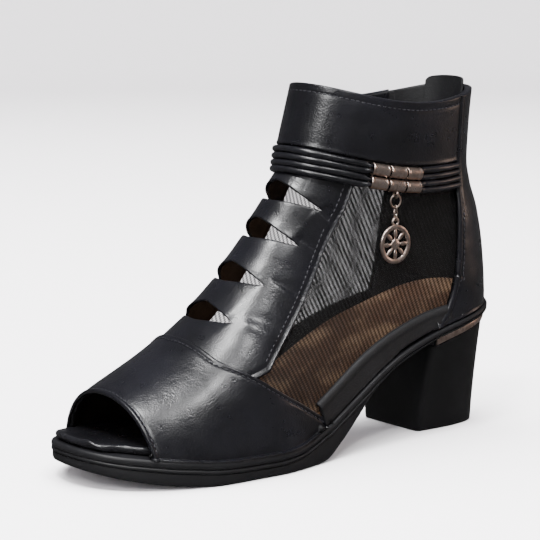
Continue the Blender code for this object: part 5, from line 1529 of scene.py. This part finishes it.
def heel_loop(proud, height_share, drop, breast_back=0.0):
    """Loop round the heel at a share of its height, or a drop below its top face.

    The top follows the sole's outline.  Towards the floor the loop shrinks to the tread's length
    and width and grows squarer.
    """
    halves = []
    for side in (-1, 1):
        half = outline_half(side, RIM - HEEL_INSET + proud, 700)
        half = half[half[:, 0] > BREAST_X + breast_back]
        half = np.vstack([[BREAST_X + breast_back, half[0, 1]], half])
        run = run_along(half)
        even = np.linspace(0, run[-1], HEEL_COUNT)
        halves.append(np.stack([np.interp(even, run, half[:, k]) for k in (0, 1)], axis=1))
    outer, inner = halves
    loop = np.vstack([outer[:-1], 0.5 * (outer[-1:] + inner[-1:]), inner[-2::-1]])
    front, back = loop[:, 0].min(), loop[:, 0].max()
    share = np.clip(height_share, 0, 1) ** 1.25
    base_front = HEEL_BASE_SHIFT - HEEL_BASE_LENGTH / 2
    base_back = HEEL_BASE_SHIFT + HEEL_BASE_LENGTH / 2
    new_front = front + (base_front - front) * (1 - share)
    new_back = back + (base_back - back) * (1 - share)
    part = (loop[:, 0] - front) / (back - front)
    half_width = np.abs(loop[:, 1]).max()
    width = half_width + (HEEL_BASE_WIDTH / 2 - half_width) * (1 - share)
    squarer = 1 - 0.42 * (1 - share)
    wide = np.sign(loop[:, 1]) * width * (np.abs(loop[:, 1]) / half_width) ** squarer
    x = new_front + part * (new_back - new_front)
    return np.column_stack([x, wide, height_share * (sole_bottom(loop[:, 0]) - GAP) - drop])


def closed_ring(loop, corner=0.0011, across=24):
    """A heel loop with its straight breast filled in and its two front corners rounded."""
    first, final = loop[0], loop[-1]
    between = final + (first - final) * np.linspace(0, 1, across + 2)[1:-1, None]
    ring = np.vstack([loop, between])
    rounded_ring = ring.copy()
    for _ in range(6):
        rounded_ring = 0.5 * rounded_ring + 0.25 * (np.roll(rounded_ring, 1, axis=0) + np.roll(rounded_ring, -1, axis=0))
    near = np.minimum(np.linalg.norm(ring - first, axis=1), np.linalg.norm(ring - final, axis=1))
    weight = np.clip(1 - near / (4 * corner), 0, 1)[:, None]
    return ring * (1 - weight) + rounded_ring * weight


def make_heel():
    """Block heel: tapering sides between a flat tread and the sole's seat, with a top lift line."""
    tread = closed_ring(heel_loop(0.0, 0.0, 0.0))
    middle = tread.mean(axis=0)
    rings = [middle + (tread - middle) * part + Z_AXIS * lift
             for part, lift in ((0.5, 0.0), (0.955, 0.0), (0.985, 0.0002), (0.997, 0.0006))]
    for share in (0.055, 0.0565, 0.058, 0.0595):
        dip = 0.0002 if 0.056 < share < 0.059 else 0.0
        rings.append(closed_ring(heel_loop(-dip, share, 0.0)))
    rings += [closed_ring(heel_loop(0.0, share, 0.0)) for share in np.linspace(0.07, 0.92, 16)]
    rings.append(closed_ring(heel_loop(0.0, 1.0, TRIM_HEIGHT + 2 * GAP + 0.0004)))
    rings.append(closed_ring(heel_loop(-0.0004, 1.0, TRIM_HEIGHT + 2 * GAP)))
    rings.append(closed_ring(heel_loop(-0.0012, 1.0, TRIM_HEIGHT + 2 * GAP)))
    rings.append(closed_ring(heel_loop(-0.0012, 1.0, 0.0)))
    count = len(rings[0])
    points = np.vstack(rings)
    groups = [sheet_faces(len(rings), count, wrap=True)]
    for base, flip in ((0, True), ((len(rings) - 1) * count, False)):
        centre = len(points)
        points = np.vstack([points, points[base:base + count].mean(axis=0)])
        index = base + np.append(np.arange(count), 0)
        fan = np.stack([index[:-1], index[1:], np.full(count, centre)], axis=1)
        groups.append(fan[:, ::-1] if flip else fan)
    made = put_mesh("heel_cover", points, groups, closed=True)
    made.data.set_sharp_from_angle(angle=math.radians(50))
    dress(made, "heel_cover", HEEL_COVER, replaces=("heel_block",))


def make_trim():
    """Metal strip round the top of the heel, its edges eased, open at the breast."""
    start = 0.0018
    low, high = TRIM_HEIGHT + GAP, GAP
    profile = []
    for turn in np.linspace(-0.5, 0.5, 9) * math.pi:
        drop = 0.5 * (low + high) - 0.5 * (low - high) * math.sin(turn)
        profile.append(heel_loop(0.0001 + 0.0004 * math.cos(turn) ** 0.6, 1.0, drop, start))
    profile.append(heel_loop(-0.0009, 1.0, high, start))
    profile.append(heel_loop(-0.0009, 1.0, low, start))
    grid = np.stack(profile, axis=1)
    rows, columns = grid.shape[:2]
    made = put_mesh("heel_strip", grid, [sheet_faces(rows, columns, wrap=True)], closed=True)
    made.data.set_sharp_from_angle(angle=math.radians(50))
    dress(made, "bronze", BRONZE, replaces=("heel_trim",))


def make_zip():
    """Coil zip on the back seam: woven tape, and two rows of interlocked teeth."""
    stations = np.linspace(SEAM + 0.03, COLLAR_STATION - 0.02, 260)
    half = 5
    grid = []
    for station in stations[::4]:
        reach = zip_share(station, 1, ZIP_HALF_WIDTH + 0.0006)
        run = np.linspace(0, 1, half)
        shares = np.concatenate([reach + (1 - reach) * run, -(reach + (1 - reach) * run[::-1][1:])])
        grid.append(skin(station, shares, 0.0007))
    grid = np.array(grid)
    tape = put_mesh("zip_cloth", grid, sheet_faces(*grid.shape[:2]), turn=False)
    thicken(tape, 0.0005)
    dress(tape, "zip_tape", TAPE, replaces=("zip_tape",))
    path = skin(stations, 1.0, 0.0011)
    out = skin(stations, 1.0, 1.0) - skin(stations, 1.0)
    run = run_along(path)
    pitch = 0.0013
    count = int(run[-1] / pitch)
    at = (np.arange(count) + 0.5) * pitch
    place = np.stack([np.interp(at, run, path[:, k]) for k in range(3)], axis=1)
    outward = np.stack([np.interp(at, run, out[:, k]) for k in range(3)], axis=1)
    shape, faces = grain_shape(0.0020, 0.00085, 0.0010)
    side = np.where(np.arange(count) % 2 == 0, 1.0, -1.0)[:, None]
    teeth = scatter(shape, faces, place + Y_AXIS * side * 0.00055, np.repeat(Y_AXIS[None], count, axis=0), outward)
    coil = joined("zip_teeth", [teeth])
    dress(coil, "zip_tape", COIL)


HINGE = np.array([0.0246, 0.0, 0.16117])
PIN_RADIUS = 0.0005
EYE_RADIUS = 0.0015
PULL_LENGTH = 0.029
PULL_WIDTH = 0.0072
PULL_WALL = 0.0011
GUARD_HEIGHT = 0.016
GUARD_RISE = 0.0032
GUARD_WALL = 0.0010
GUARD_HALF_WIDTH = 0.015


def make_pull():
    """Teardrop leather pull with a rolled eye: a lens section carried down its middle line."""
    drop = PULL_LENGTH - EYE_RADIUS
    knots = np.array([0.03, 0.12, 0.42, 0.72, 0.84, 0.94, 0.985, 1.0])
    widths = np.array([0.36, 0.42, 0.60, 0.90, 1.00, 0.84, 0.42, 0.02]) * PULL_WIDTH / 2
    run = np.concatenate([np.linspace(0.03, 0.9, 40), np.linspace(0.9, 1.0, 16)[1:]])
    wide = smooth(knots, widths, run)
    angle = np.arange(28) * 2 * math.pi / 28
    across = np.sign(np.cos(angle)) * np.abs(np.cos(angle)) ** 0.8
    thick = np.sign(np.sin(angle)) * np.abs(np.sin(angle)) ** 0.6 * PULL_WALL / 2
    groove = 1 - 0.30 * bell((np.abs(across) - 0.72) / 0.10)
    deep = np.minimum(1.0, wide / 0.0012)
    points = (HINGE + Y_AXIS * (across[None] * wide[:, None])[..., None]
              + X_AXIS * ((thick * groove)[None] * deep[:, None])[..., None]
              - Z_AXIS * (run * drop)[:, None, None])
    shapes = [(points.reshape(-1, 3), sheet_faces(len(run), 28, wrap=True))]
    half = PULL_WIDTH * 0.20
    ring_angle = np.arange(32) * 2 * math.pi / 32
    bore = PIN_RADIUS + GAP
    profile = np.array([(-half, bore), (-half, EYE_RADIUS - 0.0002), (-half + 0.0002, EYE_RADIUS),
                        (half - 0.0002, EYE_RADIUS), (half, EYE_RADIUS - 0.0002), (half, bore)])
    spoke = np.cos(ring_angle)[:, None] * X_AXIS + np.sin(ring_angle)[:, None] * Z_AXIS
    points = HINGE + Y_AXIS * profile[:, :1, None] + spoke[None] * profile[:, 1:, None]
    shapes.append((points.reshape(-1, 3), wrapped_faces(6, 32)))
    made = joined("teardrop_pull", shapes)
    dress(made, "leather", CALF, body="zip_pull", replaces=("zip_pull",))


def make_guard():
    """Soft guard inside the collar, across the zip, with rounded upper corners."""
    seam = skin(COLLAR_STATION, 1.0)
    low = COLLAR_STATION - GUARD_HEIGHT / np.linalg.norm(seam - skin(COLLAR_STATION - 1, 1.0))
    high = COLLAR_STATION + GUARD_RISE / np.linalg.norm(skin(COLLAR_STATION + 1, 1.0) - seam)
    part = np.concatenate([np.linspace(0, 0.8, 14), np.linspace(0.8, 1.0, 12)[1:]])
    grid = []
    for p in part:
        corner = max(0.0, (p - 0.8) / 0.2)
        half_width = GUARD_HALF_WIDTH * (1 - 0.22 * (1 - math.sqrt(max(0.0, 1 - corner ** 2))))
        station = low + (high - low) * p
        reach = zip_share(station, 1, half_width)
        run = np.linspace(reach, 1.0, 16)
        grid.append(skin(station, np.concatenate([run, -run[::-1][1:]]), -UPPER_WALL - 0.0007))
    grid = np.array(grid)
    made = put_mesh("soft_guard", grid, sheet_faces(*grid.shape[:2]))
    thicken(made, GUARD_WALL)
    round_edges = made.modifiers.new("edges", "BEVEL")
    round_edges.width = 0.0003
    round_edges.segments = 2
    round_edges.angle_limit = math.radians(50)
    dress(made, "leather", LINING, replaces=("zip_guard",))


def keep_nodes():
    """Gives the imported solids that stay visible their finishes."""
    for name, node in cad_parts.items():
        if node.hide_render:
            continue
        finish = KEPT.get(name)
        if finish is None:
            finish = BRONZE
        node.data.materials.clear()
        node.data.materials.append(finish)
        node.data.set_sharp_from_angle(angle=math.radians(40))


KEPT = {"zip_pull": CALF, "zip_guard": LINING, "zip_tape": TAPE}


# Camera, lights and floor

CAMERA_TURN = math.radians(-34.8)
CAMERA_RISE = math.radians(8.36)
CAMERA_ROLL = math.radians(-0.1)
CAMERA_DISTANCE = 0.9335
CAMERA_LENS = 133.8
AIM_RIGHT = 0.0434
AIM_DOWN = 0.0130
LOOK_AT = (-0.085, 0.0, 0.080)
LOOK_RIGHT = -0.0478
LOOK_UP = 0.0154


def make_camera():
    """Camera at the photograph's angle and distance, aimed at the shoe."""
    back = Vector((math.sin(CAMERA_TURN) * math.cos(CAMERA_RISE), -math.cos(CAMERA_TURN) * math.cos(CAMERA_RISE),
                   math.sin(CAMERA_RISE)))
    right = Vector((math.cos(CAMERA_TURN), math.sin(CAMERA_TURN), 0.0))
    up = back.cross(right)
    target = Vector(LOOK_AT) + right * LOOK_RIGHT + up * LOOK_UP
    data = bpy.data.cameras.new("camera")
    data.lens = CAMERA_LENS
    data.sensor_width = 36.0
    data.clip_start = 0.01
    data.clip_end = 20.0
    made = bpy.data.objects.new("camera", data)
    made.location = target + back * CAMERA_DISTANCE
    made.rotation_mode = "QUATERNION"
    facing = (-back + right * AIM_RIGHT - up * AIM_DOWN).to_track_quat("-Z", "Y")
    made.rotation_quaternion = Quaternion(back, CAMERA_ROLL) @ facing
    bpy.context.scene.collection.objects.link(made)
    bpy.context.scene.camera = made


def area_light(name, place, aim, size, power, colour="ffffff"):
    """Soft box of a width and height at a place, turned to an aim."""
    data = bpy.data.lights.new(name, "AREA")
    data.shape = "RECTANGLE"
    data.size, data.size_y = size
    data.energy = power
    data.color = linear(colour)[:3]
    made = bpy.data.objects.new(name, data)
    made.location = place
    made.rotation_mode = "QUATERNION"
    made.rotation_quaternion = (Vector(aim) - Vector(place)).to_track_quat("-Z", "Y")
    bpy.context.scene.collection.objects.link(made)
    return made


def make_stage():
    """Pale floor with a wall that curves up all round, soft boxes above, and a dim world.

    The floor's profile is a flat run, a quarter circle and an upright, turned about the z axis.
    """
    bend = np.linspace(0, math.pi / 2, 14)
    reach = np.concatenate([np.linspace(0.02, 2.4, 12), 2.4 + 0.8 * np.sin(bend)[1:], [3.2, 3.2]])
    height = np.concatenate([np.zeros(12), 0.8 * (1 - np.cos(bend))[1:], [2.0, 3.4]])
    turn = np.arange(64) * 2 * math.pi / 64
    points = np.stack([reach[:, None] * np.cos(turn), reach[:, None] * np.sin(turn),
                       height[:, None] + 0 * turn], axis=-1)
    hub = np.array([[points[0, :, 0].mean(), points[0, :, 1].mean(), 0.0]])
    ring = np.append(np.arange(64), 0)
    fan = np.stack([ring[1:], ring[:-1], np.full(64, points.shape[0] * 64)], axis=1)
    floor = put_mesh("floor", np.vstack([points.reshape(-1, 3), hub]),
                     [sheet_faces(len(reach), 64, wrap=True), fan], turn=True)
    paper, tree, shader = new_material("pale backdrop paper")
    shader.inputs["Base Color"].default_value = linear("eceaec")
    shader.inputs["Roughness"].default_value = 0.85
    floor.data.materials.append(paper)
    middle = (-0.08, 0.0, 0.07)
    room = area_light("room light", (-0.25, 0.3, 2.2), middle, (2.4, 2.4), 330.0)
    room.visible_glossy = False
    floor.visible_glossy = False
    area_light("left box", (-1.05, -0.62, 0.85), middle, (0.24, 0.36), 11.0)
    area_light("key box", (-0.60, -0.24, 1.28), middle, (0.30, 0.24), 22.0)
    area_light("front box", (-0.16, -0.68, 1.17), middle, (0.22, 0.12), 9.0)
    area_light("warm right", (1.0, -0.45, 0.35), middle, (0.25, 0.5), 1.8, "ffdcc6")
    world = bpy.data.worlds.new("pale studio")
    world.use_nodes = True
    world.node_tree.nodes["Background"].inputs["Color"].default_value = linear("eceaec")
    world.node_tree.nodes["Background"].inputs["Strength"].default_value = 0.15
    bpy.context.scene.world = world


def main():
    make_camera()
    make_vamp()
    make_panel()
    for side, name in ((-1, "outer"), (1, "inner")):
        make_wrap(side, f"arch_wrap_{name}")
        make_window(side, f"window_mesh_{name}", f"mesh_panel_{name}")
    make_shaft()
    rows = make_cuff()
    for side, name in ((-1, "outer"), (1, "inner")):
        rows += make_counter(side, f"back_quarter_{name}", f"counter_{name}")
    dress(joined("quarter_stitches", rows), "leather", THREAD)
    for number in range(4):
        make_cord(number)
    make_beads_and_charm()
    make_outsole()
    make_footbed()
    make_heel()
    make_trim()
    make_zip()
    make_pull()
    make_guard()
    keep_nodes()
    make_stage()


main()
